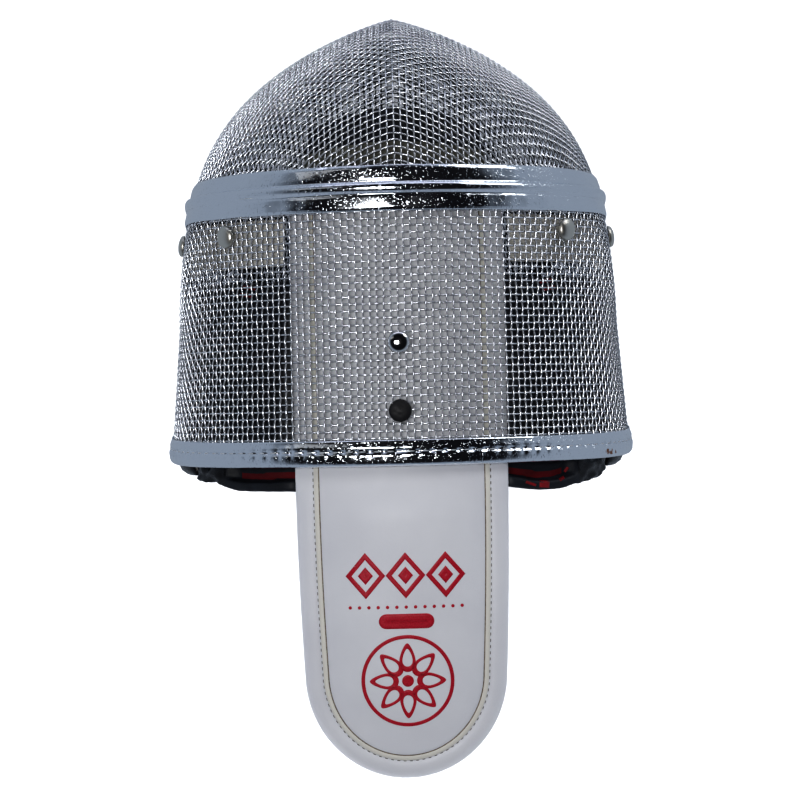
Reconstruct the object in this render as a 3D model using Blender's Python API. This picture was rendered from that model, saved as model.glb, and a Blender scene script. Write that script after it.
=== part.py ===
"""A fencing mask of woven steel wire, standing upright on the lower edge of its bib.

The mask is drawn in its own millimetres: "across" to the wearer's left, "along" forward from
the rear rim over the crown, and "down" square to the crown. The crown slopes down to the back,
and place() turns those millimetres into the scene's metres, with the face towards -Y.
The wire sheets are drawn as smooth shells that follow one skin: in the side view a point's
gauge is 0 at the ear and 1 on the outline, and each section through the ear is an arch.
"""

import math

import bmesh
import bpy
import numpy as np

MM = 0.001
CROWN_SLOPE = math.radians(20)  # the crown's fall to the back as the mask stands
RIM_HEIGHT = 300.0  # of the crown's rear edge above the floor
MIDDLE_FORWARD = 63.0  # from the rear rim forward to the middle of the whole mask

# The skin
EAR_ALONG, EAR_DOWN = 61.0, 108.0
HALF_WIDTH_REAR, HALF_WIDTH_SEAM = 108.5, 98.8
CROWN_LENGTH = 122.0  # from the rear rim to the middle of the seam band

# The outline from the side, over the top and round the face to the chin. The last rows close
# the form under the jaw, where it is open, so that the cheeks turn in towards the chin.
OUTLINE = (  # along, down
    (-3000, 0),
    (-300, 0),
    (0, 0),
    (60, 0),
    (CROWN_LENGTH, 0),
    (136, 1.0),
    (148, 3.4),
    (160, 8.4),
    (174, 19.2),
    (184.5, 33),
    (200, 68),
    (210.5, 120),
    (203, 168),
    (186, 202),
    (155, 231),
    (104, 250.5),
    (60, 262),
    (0, 274),
    (-300, 300),
    (-3000, 420),
)
OUTLINE_STEPS = 16  # points on each stretch between two rows

# The arch's form by the direction from the ear: forward is 0 degrees and up is 90.
# A roundness of 2 with a shoulder of 2 is an ellipse, and lower shoulders give a keel.
ARCHES = (  # degrees, roundness, shoulder
    (-100, 2.2, 1.9),
    (-70, 2.9, 1.6),
    (-40, 3.9, 1.3),
    (-5, 4.15, 1.17),
    (20, 3.9, 1.2),
    (45, 3.1, 1.45),
    (62, 2.15, 1.9),
    (76, 2.0, 2.0),
    (104, 2.0, 2.0),
)

# The rim of the opening from the side: over the head, round the ear and jaw and to the chin
RIM = (  # along, down
    (0, 0),
    (0.4, 50),
    (2.5, 100),
    (6, 134),
    (19, 168),
    (45, 199),
    (77, 228),
    (91, 240),
    (104, 250.5),
)
JAW = (77, 228)  # where the seam meets the rim
SEAM_STRAIGHT = 95.0  # how far down the seam is square to the crown
SEAM_BEND = 226.0  # radius with which it then turns back to the jaw

SHEET = 2.0  # thickness of the woven wire
SHEET_INSET = 0.8  # from each sheet's edge to the seam and to the fold of the trim
CROWN_ROWS, CROWN_COLUMNS = 23, 8
FACE_ROWS, FACE_COLUMNS = 18, 14
CORNER_SHARE = 0.8  # of the last step to the jaw that a sheet fills

# Tape over the seam and round the opening
TAPE_LIFT, TAPE = 0.5, 0.9
BAND_HALF_WIDTH, BAND_STATIONS = 10.0, 21
BAND_END = 15.5  # from the end of the band to the rim, where the trim covers it
BEAD_HALF_WIDTH, BEAD_HEIGHT = 2.3, 2.3
TRIM_DEPTH, TRIM_INSIDE_DEPTH, TRIM_FOLD = 10.2, 9.0, 1.2
TRIM_STATIONS = 30

# Tongue
TONGUE_FRONT, TONGUE_END = 113.0, -139.0  # along, where it begins under the crown and ends
TONGUE_ROUND = 47.0  # length of the rounded end
TONGUE_HALF_WIDTH, TONGUE_END_HALF_WIDTH = 47.0, 44.8
TONGUE_SINK = 4.5  # its upper face below the crown's skin
STRIP, PAD, PAD_RISE = 3.0, 8.0, 1.5  # thickness under the crown and behind it, and the pad's rise
TONGUE_CURL = 20.0  # how far its end drops below the crown's line
TONGUE_FLATTEN = 0.45  # share of the crown's arch that is left at the end
TONGUE_SHARES = (0.3, 0.6, 0.86, 1.0)  # of its half width, where its columns lie
TONGUE_SOFT_EDGE = 7.0  # width over which its border is rounded off
TONGUE_TIP = 0.97  # how far round the rounded end its last row lies, as a share of a quarter turn
PUFF_START, PUFF_LENGTH = 3.0, 22.0  # behind the rim, where the strip swells to the pad
PAD_EDGE = 0.35  # share of the padding that is left at its border
STRIP_ROWS, PAD_ROWS, END_ROWS = 9, 10, 8

# Rivets: along the crown, or how far round its arch from the middle in degrees
TONGUE_RIVETS = (("front", 54.5), ("rear", 24.6))
STRAP_RIVETS = (("upper", 48.5), ("lower", 88.0))
STRAP_RIVET_ALONG = 104.0
RIVET_RADIUS, RIVET_HEIGHT, RIVET_EDGE = 5.0, 2.2, 0.4
RIVET_SIDES, DOME_ROWS, DOME_START = 12, 3, 15.0  # its dome starts at 15 degrees
SHANK_RADIUS, FOOT_RADIUS, FOOT = 1.4, 3.6, 0.7
HOLE_RADIUS, HOLE_SIDES, HOLE_ABOVE, HOLE_DEPTH = 1.9, 8, 2.0, 12.0
CLEAR = 0.4  # between pieces that touch

# Liner
STRAP_ALONG, STRAP_DEGREES = (89.5, 110.5), (31, 108)
STRAP_SINK, STRAP = 3.1, 1.6
PAD_SINK, LINER, LINER_EDGE = 3.9, 10.0, 3.0
LINER_ROWS, LINER_COLUMNS = 7, 10
LINER_PADS = (  # name, along, degrees round the arch
    ("temple_pad", (-13.0, 84.0), (31.5, 68.0)),
    ("cheek_pad", (-9.0, 82.0), (73.0, 98.0)),
)
FOREHEAD_ALONG, FOREHEAD_HALF_WIDTH = (134.0, 163.0), 50.0
FOREHEAD_SINK, FOREHEAD = 3.8, 8.0
FOREHEAD_ROWS, FOREHEAD_COLUMNS = 6, 11

# Bib
BIB = 7.0
BIB_SINK = 8.0  # from the skin to the middle of its wall, inside the rim
BIB_TUCK = 8.0  # how far up inside the rim it reaches
BIB_REAR, BIB_FRONT, BIB_HALF_WIDTH = 94.0, 210.0, 86.0  # its foot, forward of the rear rim
BIB_STATIONS, BIB_RINGS = 15, 8
BIB_START = 0.47  # share of the rim's length from the top of the head to where it begins
BIB_LEAVE = 0.32  # how far it runs straight on from the rim, as a share of its height


# The skin and its measures


def smooth_line(rows, steps):
    """A smooth line through the rows, with the same number of points on each stretch."""
    p = np.array(rows, float)
    t = np.r_[0, np.cumsum(np.linalg.norm(np.diff(p, axis=0), axis=1))]
    slope = np.gradient(p, t, axis=0)
    u = np.arange(steps)[:, None] / steps
    line = []
    for k in range(len(p) - 1):
        h = t[k + 1] - t[k]
        line.append(
            (2 * u**3 - 3 * u**2 + 1) * p[k]
            + (u**3 - 2 * u**2 + u) * h * slope[k]
            + (3 * u**2 - 2 * u**3) * p[k + 1]
            + (u**3 - u**2) * h * slope[k + 1]
        )
    return np.concatenate(line + [p[-1:]])


def direction(along, down):
    """The angle from the ear, forward 0 and up 90 degrees, in radians."""
    return np.arctan2(EAR_DOWN - down, along - EAR_ALONG)


outline = smooth_line(OUTLINE, OUTLINE_STEPS)
outline_angle = direction(outline[:, 0], outline[:, 1])[::-1]
outline_nearness = 1 / np.hypot(outline[:, 0] - EAR_ALONG, outline[:, 1] - EAR_DOWN)[::-1]
arch_angle, arch_roundness, arch_shoulder = np.array(ARCHES, float).T


def gauge(along, down):
    """0 at the ear, and 1 on the outline."""
    reach = np.hypot(along - EAR_ALONG, down - EAR_DOWN)
    return reach * np.interp(direction(along, down), outline_angle, outline_nearness)


def widest(along):
    """Half the width that the arches have at ear height."""
    return HALF_WIDTH_REAR + (HALF_WIDTH_SEAM - HALF_WIDTH_REAR) * along / CROWN_LENGTH


def arch(along, down):
    degrees = np.degrees(direction(along, down))
    return (
        np.interp(degrees, arch_angle, arch_roundness),
        np.interp(degrees, arch_angle, arch_shoulder),
    )


def skin(side):
    """The points of the skin, on the wearer's left, that a line of the side view stands for."""
    along, down = side[:, 0], side[:, 1]
    roundness, shoulder = arch(along, down)
    inside = np.clip(1 - gauge(along, down) ** roundness, 0, 1)
    return np.stack([widest(along) * inside ** (1 / shoulder), along, down], axis=1)


def height_over_skin(p):
    across, along, down = np.abs(p[..., 0]), p[..., 1], p[..., 2]
    roundness, shoulder = arch(along, down)
    return gauge(along, down) ** roundness + (across / widest(along)) ** shoulder - 1


def slope_of_skin(p):
    step = np.eye(3) * 0.05
    rises = [height_over_skin(p + s) - height_over_skin(p - s) for s in step]
    return np.stack(rises, axis=-1) / 0.1


def outward(p):
    slope = slope_of_skin(p)
    return slope / np.linalg.norm(slope, axis=-1, keepdims=True)


def settle(p):
    """The points moved onto the skin."""
    for _ in range(8):
        slope = slope_of_skin(p)
        fall = height_over_skin(p) / (slope**2).sum(axis=-1)
        p = p - fall[..., None] * slope
    return p


def sink(p, depth):
    return p - depth * outward(p)


def respaced(line, share, measured=None):
    """The line's points at the shares of its length, or of the length of the measured line."""
    measured = line if measured is None else measured
    length = np.r_[0, np.cumsum(np.linalg.norm(np.diff(measured, axis=0), axis=1))]
    return np.stack([np.interp(share * length[-1], length, axis) for axis in line.T], axis=1)


def even(side, count):
    """A line of the side view, respaced evenly over the skin that it stands for."""
    return respaced(side, np.linspace(0, 1, count + 1), skin(side))


def both_sides(half):
    """A half from the middle outward, as one line from the right side to the left."""
    return np.concatenate([half[:0:-1] * (-1, 1, 1), half])


def seam_line(steps=400):
    """The seam's side view, from the top of the head down to the jaw."""
    down = JAW[1] * np.linspace(0, 1, steps) ** 2
    below = np.maximum(down - SEAM_STRAIGHT, 0)
    along = CROWN_LENGTH - (SEAM_BEND - np.sqrt(SEAM_BEND**2 - below**2))
    along += (JAW[0] - along[-1]) * (below / below[-1]) ** 2
    return np.stack([along, down], axis=1)


def rim_line(steps=60):
    """The rim's side view, closely spaced where it starts at the top of the head."""
    line = smooth_line(RIM, steps)
    near = line[0] + (line[1] - line[0]) * np.linspace(0, 1, steps)[:, None] ** 2
    return np.concatenate([near[:-1], line[1:]])


def nearest(line, point):
    return int(np.argmin(np.linalg.norm(line - point, axis=1)))


# Solids


def place(p):
    """Millimetres across, along and down, as metres in the scene."""
    across, along, down = np.moveaxis(np.asarray(p, float), -1, 0)
    forward = along * math.cos(CROWN_SLOPE) + down * math.sin(CROWN_SLOPE)
    up = along * math.sin(CROWN_SLOPE) - down * math.cos(CROWN_SLOPE)
    return np.stack([across, MIDDLE_FORWARD - forward, up + RIM_HEIGHT], axis=-1) * MM


def standing(across, forward, up):
    """A point across, along and down, from one level and plumb, measured from the rear rim."""
    along = forward * math.cos(CROWN_SLOPE) + up * math.sin(CROWN_SLOPE)
    down = forward * math.sin(CROWN_SLOPE) - up * math.cos(CROWN_SLOPE)
    return np.stack(np.broadcast_arrays(across, along, down), axis=-1)


def finish(name, colour, roughness, metallic=0.0):
    made = bpy.data.materials.new(name)
    made.use_nodes = True
    shader = made.node_tree.nodes["Principled BSDF"]
    shader.inputs["Base Color"].default_value = (*colour, 1)
    shader.inputs["Roughness"].default_value = roughness
    shader.inputs["Metallic"].default_value = metallic
    made.diffuse_color = (*colour, 1)
    return made


def solid(name, points, faces, material):
    """One closed body, its faces turned outward."""
    mesh = bpy.data.meshes.new(name)
    mesh.from_pydata(place(points).tolist(), [], faces)
    body = bmesh.new()
    body.from_mesh(mesh)
    bmesh.ops.recalc_face_normals(body, faces=body.faces)
    body.to_mesh(mesh)
    body.free()
    mesh.shade_smooth()
    mesh.set_sharp_from_angle(angle=math.radians(40))
    mesh.materials.append(material)
    piece = bpy.data.objects.new(name, mesh)
    bpy.context.collection.objects.link(piece)
    piece.parent = mask
    return piece


def wall(name, upper, lower, material):
    """A closed wall between two grids of points, one above the other."""
    rows, columns = upper.shape[:2]
    under = rows * columns

    def at(r, c):
        return r * columns + c

    faces = []
    for r in range(rows - 1):
        for c in range(columns - 1):
            ring = [at(r, c), at(r, c + 1), at(r + 1, c + 1), at(r + 1, c)]
            faces.append(ring)
            faces.append([k + under for k in ring[::-1]])
    edge = [at(0, c) for c in range(columns - 1)]
    edge += [at(r, columns - 1) for r in range(rows - 1)]
    edge += [at(rows - 1, c) for c in range(columns - 1, 0, -1)]
    edge += [at(r, 0) for r in range(rows - 1, 0, -1)]
    for a, b in zip(edge, edge[1:] + edge[:1]):
        faces.append([b, a, a + under, b + under])
    points = np.concatenate([upper.reshape(-1, 3), lower.reshape(-1, 3)])
    return solid(name, points, faces, material)


def sweep(name, sections, material, ring=False):
    """A closed body through the sections, which run on to the first again if it is a ring."""
    stations, count = sections.shape[:2]
    faces = []
    for s in range(stations if ring else stations - 1):
        here, there = s * count, (s + 1) % stations * count
        for k in range(count):
            after = (k + 1) % count
            faces.append([here + k, here + after, there + after, there + k])
    if not ring:
        faces.append(list(range(count)))
        faces.append(list(range((stations - 1) * count, stations * count)))
    return solid(name, sections.reshape(-1, 3), faces, material)


def across_run(stations, ring=False):
    """Square to the line of stations, along the skin: forward where it crosses the crown."""
    if ring:
        run = np.roll(stations, -1, axis=0) - np.roll(stations, 1, axis=0)
    else:
        run = np.gradient(stations, axis=0)
    aside = np.cross(run, outward(stations))
    return aside / np.linalg.norm(aside, axis=1, keepdims=True)


def tape(stations, profile, ring=False):
    """Sections of a tape on the skin: the profile's rows are offsets aside and heights."""
    aside = across_run(stations, ring)
    sections = [sink(settle(stations + aside * offset), -lift) for offset, lift in profile]
    return np.stack(sections, axis=1)


def crown_point(along, degrees):
    """A point of the crown's skin, by how far round the arch it lies."""
    turn = np.radians(degrees)
    down = EAR_DOWN * (1 - np.cos(turn))
    point = np.stack(np.broadcast_arrays(widest(along) * np.sin(turn), along, down), axis=-1)
    return settle(point)


# Pieces


def make_sheets(material):
    """The crown and face sheets, which meet under the seam band and end in the trim."""
    rim = rim_line()
    corner = nearest(rim, JAW)
    rear = even(rim[: corner + 1], CROWN_ROWS)
    front = even(seam_line(), CROWN_ROWS)
    for line in (rear, front):
        line[-1] = line[-2] + (line[-1] - line[-2]) * CORNER_SHARE
    rows = []
    for back, fore in zip(rear, front):
        inset = SHEET_INSET / np.linalg.norm(fore - back)
        share = np.linspace(inset, 1 - inset, CROWN_COLUMNS + 1)[:, None]
        rows.append(skin(back + (fore - back) * share))
    crown = both_sides(np.stack(rows))
    wall("crown_mesh", crown, sink(crown, SHEET), material)

    top, chin = nearest(outline, (CROWN_LENGTH, 0)), nearest(outline, RIM[-1])
    keel = respaced(outline[top : chin + 1], np.linspace(0, 1, FACE_ROWS + 1))
    share = np.linspace(0, 1, 300) ** 1.6
    above = respaced(seam_line(), share)
    below = respaced(rim[: corner - 1 : -1], share)
    bow_above = above - above[0] - (JAW - above[0]) * share[:, None]
    bow_below = below - below[0] - (JAW - below[0]) * share[:, None]
    rows = []
    for start, k in zip(keel, np.linspace(0, 1, FACE_ROWS + 1)):
        straight = start + (JAW - start) * share[:, None]
        row = even(straight + (1 - k) * bow_above + k * bow_below, FACE_COLUMNS)
        row[-1] = row[-2] + (row[-1] - row[-2]) * CORNER_SHARE
        rows.append(skin(row))
    half = np.stack(rows)
    for edge, beside in ((0, 1), (-1, -2)):
        step = half[beside] - half[edge]
        half[edge] += step * SHEET_INSET / np.linalg.norm(step, axis=1, keepdims=True)
    face = np.concatenate([half[:, :0:-1] * (-1, 1, 1), half], axis=1)
    face = settle(face)
    wall("face_mesh", face, sink(face, SHEET), material)


def make_seam_band(material):
    seam = seam_line()
    length = np.linalg.norm(np.diff(skin(seam), axis=0), axis=1).sum()
    kept = np.linspace(0, 1 - BAND_END / length, BAND_STATIONS + 1)
    stations = both_sides(skin(respaced(seam, kept, skin(seam))))
    under, over = TAPE_LIFT, TAPE_LIFT + TAPE
    crest = TAPE_LIFT + BEAD_HEIGHT
    profile = [(BAND_HALF_WIDTH * k, under) for k in (1, 0.5, 0, -0.5, -1)]
    profile += [(-BAND_HALF_WIDTH, over), (-0.6 * BAND_HALF_WIDTH, over), (-BEAD_HALF_WIDTH, over)]
    profile += [(-0.55 * BEAD_HALF_WIDTH, crest), (0.55 * BEAD_HALF_WIDTH, crest)]
    profile += [(BEAD_HALF_WIDTH, over), (0.6 * BAND_HALF_WIDTH, over), (BAND_HALF_WIDTH, over)]
    sweep("seam_band", tape(stations, profile), material)


def make_rim_trim(material):
    half = skin(even(rim_line(), TRIM_STATIONS))
    stations = np.concatenate([half, half[-2:0:-1] * (-1, 1, 1)])
    over, inside = TAPE_LIFT + TAPE, -SHEET - TAPE_LIFT
    below = inside - TAPE
    profile = [(TRIM_DEPTH * k, over) for k in (1, 0.5, 0)]
    profile += [(-TRIM_FOLD, TAPE_LIFT), (-TRIM_FOLD, inside)]
    profile += [(TRIM_INSIDE_DEPTH * k, below) for k in (0, 0.5, 1)]
    profile += [(TRIM_INSIDE_DEPTH * k, inside) for k in (1, 0.5, 0)]
    profile += [(TRIM_DEPTH * k, TAPE_LIFT) for k in (0, 0.5, 1)]
    sweep("rim_trim", tape(stations, profile, ring=True), material, ring=True)


def smooth_step(x):
    x = np.clip(x, 0, 1)
    return x * x * (3 - 2 * x)


def tongue_half_width(along):
    taper = np.clip(-along / (-TONGUE_END - TONGUE_ROUND), 0, 1)
    wide = TONGUE_HALF_WIDTH + (TONGUE_END_HALF_WIDTH - TONGUE_HALF_WIDTH) * taper**2
    into_round = np.clip((TONGUE_END + TONGUE_ROUND - along) / TONGUE_ROUND, 0, 1)
    return wide * np.sqrt(1 - into_round**2)


def make_tongue(material):
    """A strip under the crown that widens to a pad behind the rim and curls down to its end."""
    turns = np.linspace(0, TONGUE_TIP, END_ROWS + 1)[1:] * math.pi / 2
    round_end = TONGUE_END + TONGUE_ROUND * (1 - np.sin(turns))
    strip = np.linspace(TONGUE_FRONT, 0, STRIP_ROWS + 1)
    pad = np.linspace(0, TONGUE_END + TONGUE_ROUND, PAD_ROWS + 1)[1:]
    along = np.concatenate([strip, pad, round_end])[:, None]
    half = tongue_half_width(along)
    shares = np.array(TONGUE_SHARES)
    across = half * np.concatenate([-shares[::-1], [0], shares])
    behind = np.clip(along / TONGUE_END, 0, 1)
    drop = EAR_DOWN * (1 - np.sqrt(1 - (across / widest(along)) ** 2))
    upper = TONGUE_SINK + TONGUE_CURL * behind**1.5
    upper = upper + drop * (1 - (1 - TONGUE_FLATTEN) * smooth_step(behind))
    from_edge = np.minimum(half - abs(across), along - TONGUE_END) / TONGUE_SOFT_EDGE
    soft = 1 - (1 - np.clip(from_edge, 0, 1)) ** 2
    puffed = smooth_step(-(along + PUFF_START) / PUFF_LENGTH)
    upper = upper - PAD_RISE * puffed * soft
    lower = upper + STRIP + (PAD - STRIP) * puffed * (PAD_EDGE + (1 - PAD_EDGE) * soft)
    along = np.broadcast_to(along, across.shape)
    grids = [np.stack([across, along, down], axis=-1) for down in (upper, lower)]
    return wall("tongue", *grids, material)


def round_axis(point, count):
    """The skin's outward direction at the point, and a unit ring of points round it."""
    axis = outward(point)
    side = np.cross(axis, (0.0, 1.0, 0.0))
    side /= np.linalg.norm(side)
    around = np.arange(count) * 2 * math.pi / count
    return axis, np.cos(around)[:, None] * side + np.sin(around)[:, None] * np.cross(axis, side)


def make_rivet(name, point, depth, material):
    """A domed head outside, its shank through the sheet, and the foot clenched on it inside."""
    axis, rings = round_axis(point, RIVET_SIDES)
    rows = []
    for turn in np.radians(np.linspace(90, DOME_START, DOME_ROWS)):
        rise = RIVET_EDGE + RIVET_HEIGHT * math.sin(turn)
        rows.append((RIVET_RADIUS * math.cos(turn), TAPE_LIFT + rise))
    rows += [(RIVET_RADIUS, TAPE_LIFT), (SHANK_RADIUS, TAPE_LIFT), (SHANK_RADIUS, -depth)]
    rows += [(FOOT_RADIUS, -depth), (FOOT_RADIUS, -depth - FOOT), (0, -depth - FOOT)]
    points, faces = [point + axis * rows[0][1]], []
    for radius, height in rows[1:-1]:
        points += list(point + axis * height + rings * radius)
    points.append(point + axis * rows[-1][1])
    for k in range(RIVET_SIDES):
        after = (k + 1) % RIVET_SIDES
        faces.append([0, 1 + k, 1 + after])
        for r in range(len(rows) - 3):
            a, b = 1 + r * RIVET_SIDES, 1 + (r + 1) * RIVET_SIDES
            faces.append([a + k, b + k, b + after, a + after])
        last = 1 + (len(rows) - 3) * RIVET_SIDES
        faces.append([len(points) - 1, last + after, last + k])
    solid(name, np.array(points), faces, material)


def drill(point, depth, pieces):
    """A hole through the pieces for a rivet's shank."""
    axis, rings = round_axis(point, HOLE_SIDES)
    above, below = point + axis * HOLE_ABOVE, point - axis * depth
    points = np.concatenate([above + rings * HOLE_RADIUS, below + rings * HOLE_RADIUS])
    faces = [list(range(HOLE_SIDES)), list(range(HOLE_SIDES, 2 * HOLE_SIDES))]
    for k in range(HOLE_SIDES):
        after = (k + 1) % HOLE_SIDES
        faces.append([k, after, after + HOLE_SIDES, k + HOLE_SIDES])
    cutter = solid("hole_cutter", points, faces, None)
    cutter.hide_render = True
    cutter.display_type = "WIRE"
    for piece in pieces:
        cut = piece.modifiers.new("rivet_hole", "BOOLEAN")
        cut.operation = "DIFFERENCE"
        cut.solver = "EXACT"
        cut.object = cutter


def pad_thickness(rows, columns, edge, middle):
    """The thickness of a soft pad over its grid, thin at the borders."""
    r = np.minimum(np.arange(rows), np.arange(rows)[::-1])[:, None]
    c = np.minimum(np.arange(columns), np.arange(columns)[::-1])[None, :]
    inner = np.clip(np.minimum(r, c) / 2, 0, 1)
    return (edge + (middle - edge) * np.sqrt(inner * (2 - inner)))[..., None]


def panel(name, along, degrees, side, above, thickness, material):
    """A panel under the crown's skin, between two places along it and two round its arch."""
    upper = sink(crown_point(along[None, :], degrees[:, None]), above)
    lower = sink(crown_point(along[None, :], degrees[:, None]), above + thickness)
    return wall(name, upper * (side, 1, 1), lower * (side, 1, 1), material)


def make_liner(side, name, webbing, padding):
    """The webbing and the two pads of one side."""
    along, degrees = np.linspace(*STRAP_ALONG, 3), np.linspace(*STRAP_DEGREES, 12)
    strap = panel(f"liner_strap_{name}", along, degrees, side, STRAP_SINK, STRAP, webbing)
    for pad, reach, turn in LINER_PADS:
        along, degrees = np.linspace(*reach, LINER_COLUMNS), np.linspace(*turn, LINER_ROWS)
        thickness = pad_thickness(LINER_ROWS, LINER_COLUMNS, LINER_EDGE, LINER)
        panel(f"{pad}_{name}", along, degrees, side, PAD_SINK, thickness, padding)
    return strap


def make_forehead_pad(padding):
    across = np.linspace(-FOREHEAD_HALF_WIDTH, FOREHEAD_HALF_WIDTH, FOREHEAD_COLUMNS)[None, :]
    along = np.linspace(*FOREHEAD_ALONG, FOREHEAD_ROWS)[:, None]
    brow = outline[(outline[:, 0] > EAR_ALONG) & (outline[:, 1] < EAR_DOWN)]
    top = np.interp(along, *brow.T)
    points = settle(np.stack(np.broadcast_arrays(across, along, top), axis=-1))
    thickness = pad_thickness(FOREHEAD_ROWS, FOREHEAD_COLUMNS, LINER_EDGE, FOREHEAD)
    upper, lower = sink(points, FOREHEAD_SINK), sink(points, FOREHEAD_SINK + thickness)
    wall("forehead_pad", upper, lower, padding)


def make_bib(leather):
    """A padded wall from inside the rim, round the throat, down to its level foot."""
    rim = rim_line()
    half = skin(respaced(rim, np.linspace(BIB_START, 1, BIB_STATIONS + 1), skin(rim)))
    stations = both_sides(half[::-1])
    inward = across_run(stations)
    inward *= np.sign(inward[BIB_STATIONS, 1])  # at the chin, forward from the rim into the mask
    turn = np.linspace(-1, 1, 2 * BIB_STATIONS + 1) * math.pi / 2
    foot_across = BIB_HALF_WIDTH * np.sin(turn)
    foot_forward = BIB_REAR + (BIB_FRONT - BIB_REAR) * np.cos(turn)
    foot = standing(foot_across, foot_forward, -RIM_HEIGHT)
    start = sink(stations, BIB_SINK)
    plumb = standing(0.0, 0.0, -1.0)
    height = np.linalg.norm(foot - start, axis=1, keepdims=True)
    rings = [sink(settle(stations + inward * BIB_TUCK), BIB_SINK), start]
    for u in np.linspace(0, 1, BIB_RINGS)[1:]:
        rings.append(
            (2 * u**3 - 3 * u**2 + 1) * start
            - (u**3 - 2 * u**2 + u) * inward * BIB_LEAVE * height
            + (3 * u**2 - 2 * u**3) * foot
            + (u**3 - u**2) * plumb * height
        )
    middle = np.stack(rings)
    thick = np.cross(np.gradient(middle, axis=1), np.gradient(middle, axis=0))
    thick[-1] -= (thick[-1] @ plumb)[:, None] * plumb
    thick /= np.linalg.norm(thick, axis=-1, keepdims=True)
    wall("bib", middle + thick * BIB / 2, middle - thick * BIB / 2, leather)


for old in list(bpy.data.objects):
    bpy.data.objects.remove(old)
mask = bpy.data.objects.new("mask", None)
bpy.context.collection.objects.link(mask)

steel = finish("steel_wire", (0.56, 0.58, 0.61), 0.3, 1.0)
bright_tape = finish("bright_tape", (0.72, 0.75, 0.79), 0.12, 1.0)
satin_nickel = finish("satin_nickel", (0.66, 0.64, 0.58), 0.35, 1.0)
polished_nickel = finish("polished_nickel", (0.75, 0.75, 0.75), 0.08, 1.0)
white_leather = finish("white_leather", (0.74, 0.75, 0.80), 0.45)
grey_webbing = finish("grey_webbing", (0.60, 0.57, 0.53), 0.9)
black_padding = finish("black_padding", (0.02, 0.02, 0.025), 0.8)

make_sheets(steel)
make_seam_band(bright_tape)
make_rim_trim(bright_tape)
tongue = make_tongue(white_leather)
make_forehead_pad(black_padding)
make_bib(white_leather)
crown = bpy.data.objects["crown_mesh"]
for name, along in TONGUE_RIVETS:
    point = crown_point(along, 0.0)
    make_rivet(f"tongue_rivet_{name}", point, TONGUE_SINK + STRIP + CLEAR, polished_nickel)
    drill(point, HOLE_DEPTH, (crown, tongue))
for side, name in ((1, "left"), (-1, "right")):
    strap = make_liner(side, name, grey_webbing, black_padding)
    for place_name, degrees in STRAP_RIVETS:
        point = crown_point(STRAP_RIVET_ALONG, degrees) * (side, 1, 1)
        make_rivet(f"strap_rivet_{place_name}_{name}", point, STRAP_SINK + STRAP + CLEAR, satin_nickel)
        drill(point, HOLE_DEPTH, (crown, strap))
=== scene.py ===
"""The looks of a fencing mask that stands on the lower edge of its bib.

Everything is worked out in the mask's own millimetres: "across" to the wearer's left, "along"
forward from the rear rim over the crown, and "down" square to the crown. place() turns those
into the frame's metres.
"""

import math

import bmesh
import bpy
import numpy as np
from mathutils import Matrix, Vector, noise
from mathutils.bvhtree import BVHTree
from mathutils.kdtree import KDTree


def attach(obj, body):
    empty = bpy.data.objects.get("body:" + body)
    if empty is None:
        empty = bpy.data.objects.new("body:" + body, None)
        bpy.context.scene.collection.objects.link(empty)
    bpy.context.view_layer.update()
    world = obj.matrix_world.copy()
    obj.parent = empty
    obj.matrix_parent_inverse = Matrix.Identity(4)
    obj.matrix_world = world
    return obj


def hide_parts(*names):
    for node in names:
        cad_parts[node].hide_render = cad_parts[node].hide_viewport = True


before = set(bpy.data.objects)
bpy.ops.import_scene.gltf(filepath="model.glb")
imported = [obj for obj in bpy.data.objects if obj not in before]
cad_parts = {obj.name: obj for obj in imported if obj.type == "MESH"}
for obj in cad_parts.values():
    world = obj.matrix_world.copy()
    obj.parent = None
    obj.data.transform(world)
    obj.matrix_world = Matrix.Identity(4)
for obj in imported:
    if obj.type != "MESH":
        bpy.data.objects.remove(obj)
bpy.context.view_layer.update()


# The two wire sheets. Bright steel wire, plain-woven 3.1 mm apart and pressed over a former: the
# crown bends one way only, and the face is drawn into a bowl with a keel, so that its wires slant
# towards the temples. Their cut ends are hidden in the tape of the seam and the rim.

MM = 0.001
CROWN_SLOPE = math.radians(20)  # the crown's fall to the back as the mask stands
RIM_HEIGHT = 300.0  # of the crown's rear edge above the floor
MIDDLE_FORWARD = 63.0  # from the rear rim forward to the middle of the whole mask
EAR_ALONG, EAR_DOWN = 61.0, 108.0
HALF_WIDTH_REAR, HALF_WIDTH_SEAM = 108.5, 98.8
CROWN_LENGTH = 122.0

OUTLINE_STEPS = 16  # points on each stretch between two rows
OUTLINE = (  # along, down: over the top and round the face to the chin, then on under the jaw
    (-3000, 0),
    (-300, 0),
    (0, 0),
    (60, 0),
    (CROWN_LENGTH, 0),
    (136, 1.0),
    (148, 3.4),
    (160, 8.4),
    (174, 19.2),
    (184.5, 33),
    (200, 68),
    (210.5, 120),
    (203, 168),
    (186, 202),
    (155, 231),
    (104, 250.5),
    (60, 262),
    (0, 274),
    (-300, 300),
    (-3000, 420),
)
ARCHES = (  # degrees up from forward at the ear, roundness, shoulder
    (-100, 2.2, 1.9),
    (-70, 2.9, 1.6),
    (-40, 3.9, 1.3),
    (-5, 4.15, 1.17),
    (20, 3.9, 1.2),
    (45, 3.1, 1.45),
    (62, 2.15, 1.9),
    (76, 2.0, 2.0),
    (104, 2.0, 2.0),
)
RIM = (  # along, down: the edge of the opening, from the top of the head to the chin
    (1.6, 0),
    (2.0, 50),
    (3.9, 100),
    (7.0, 134),
    (19.5, 168),
    (45, 199),
    (77, 228),
    (91, 240),
    (104, 250.5),
)
JAW = (77, 228)  # where the seam meets the rim
SEAM_STRAIGHT, SEAM_BEND = 95.0, 226.0  # straight so far down, then bent to this radius

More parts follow.
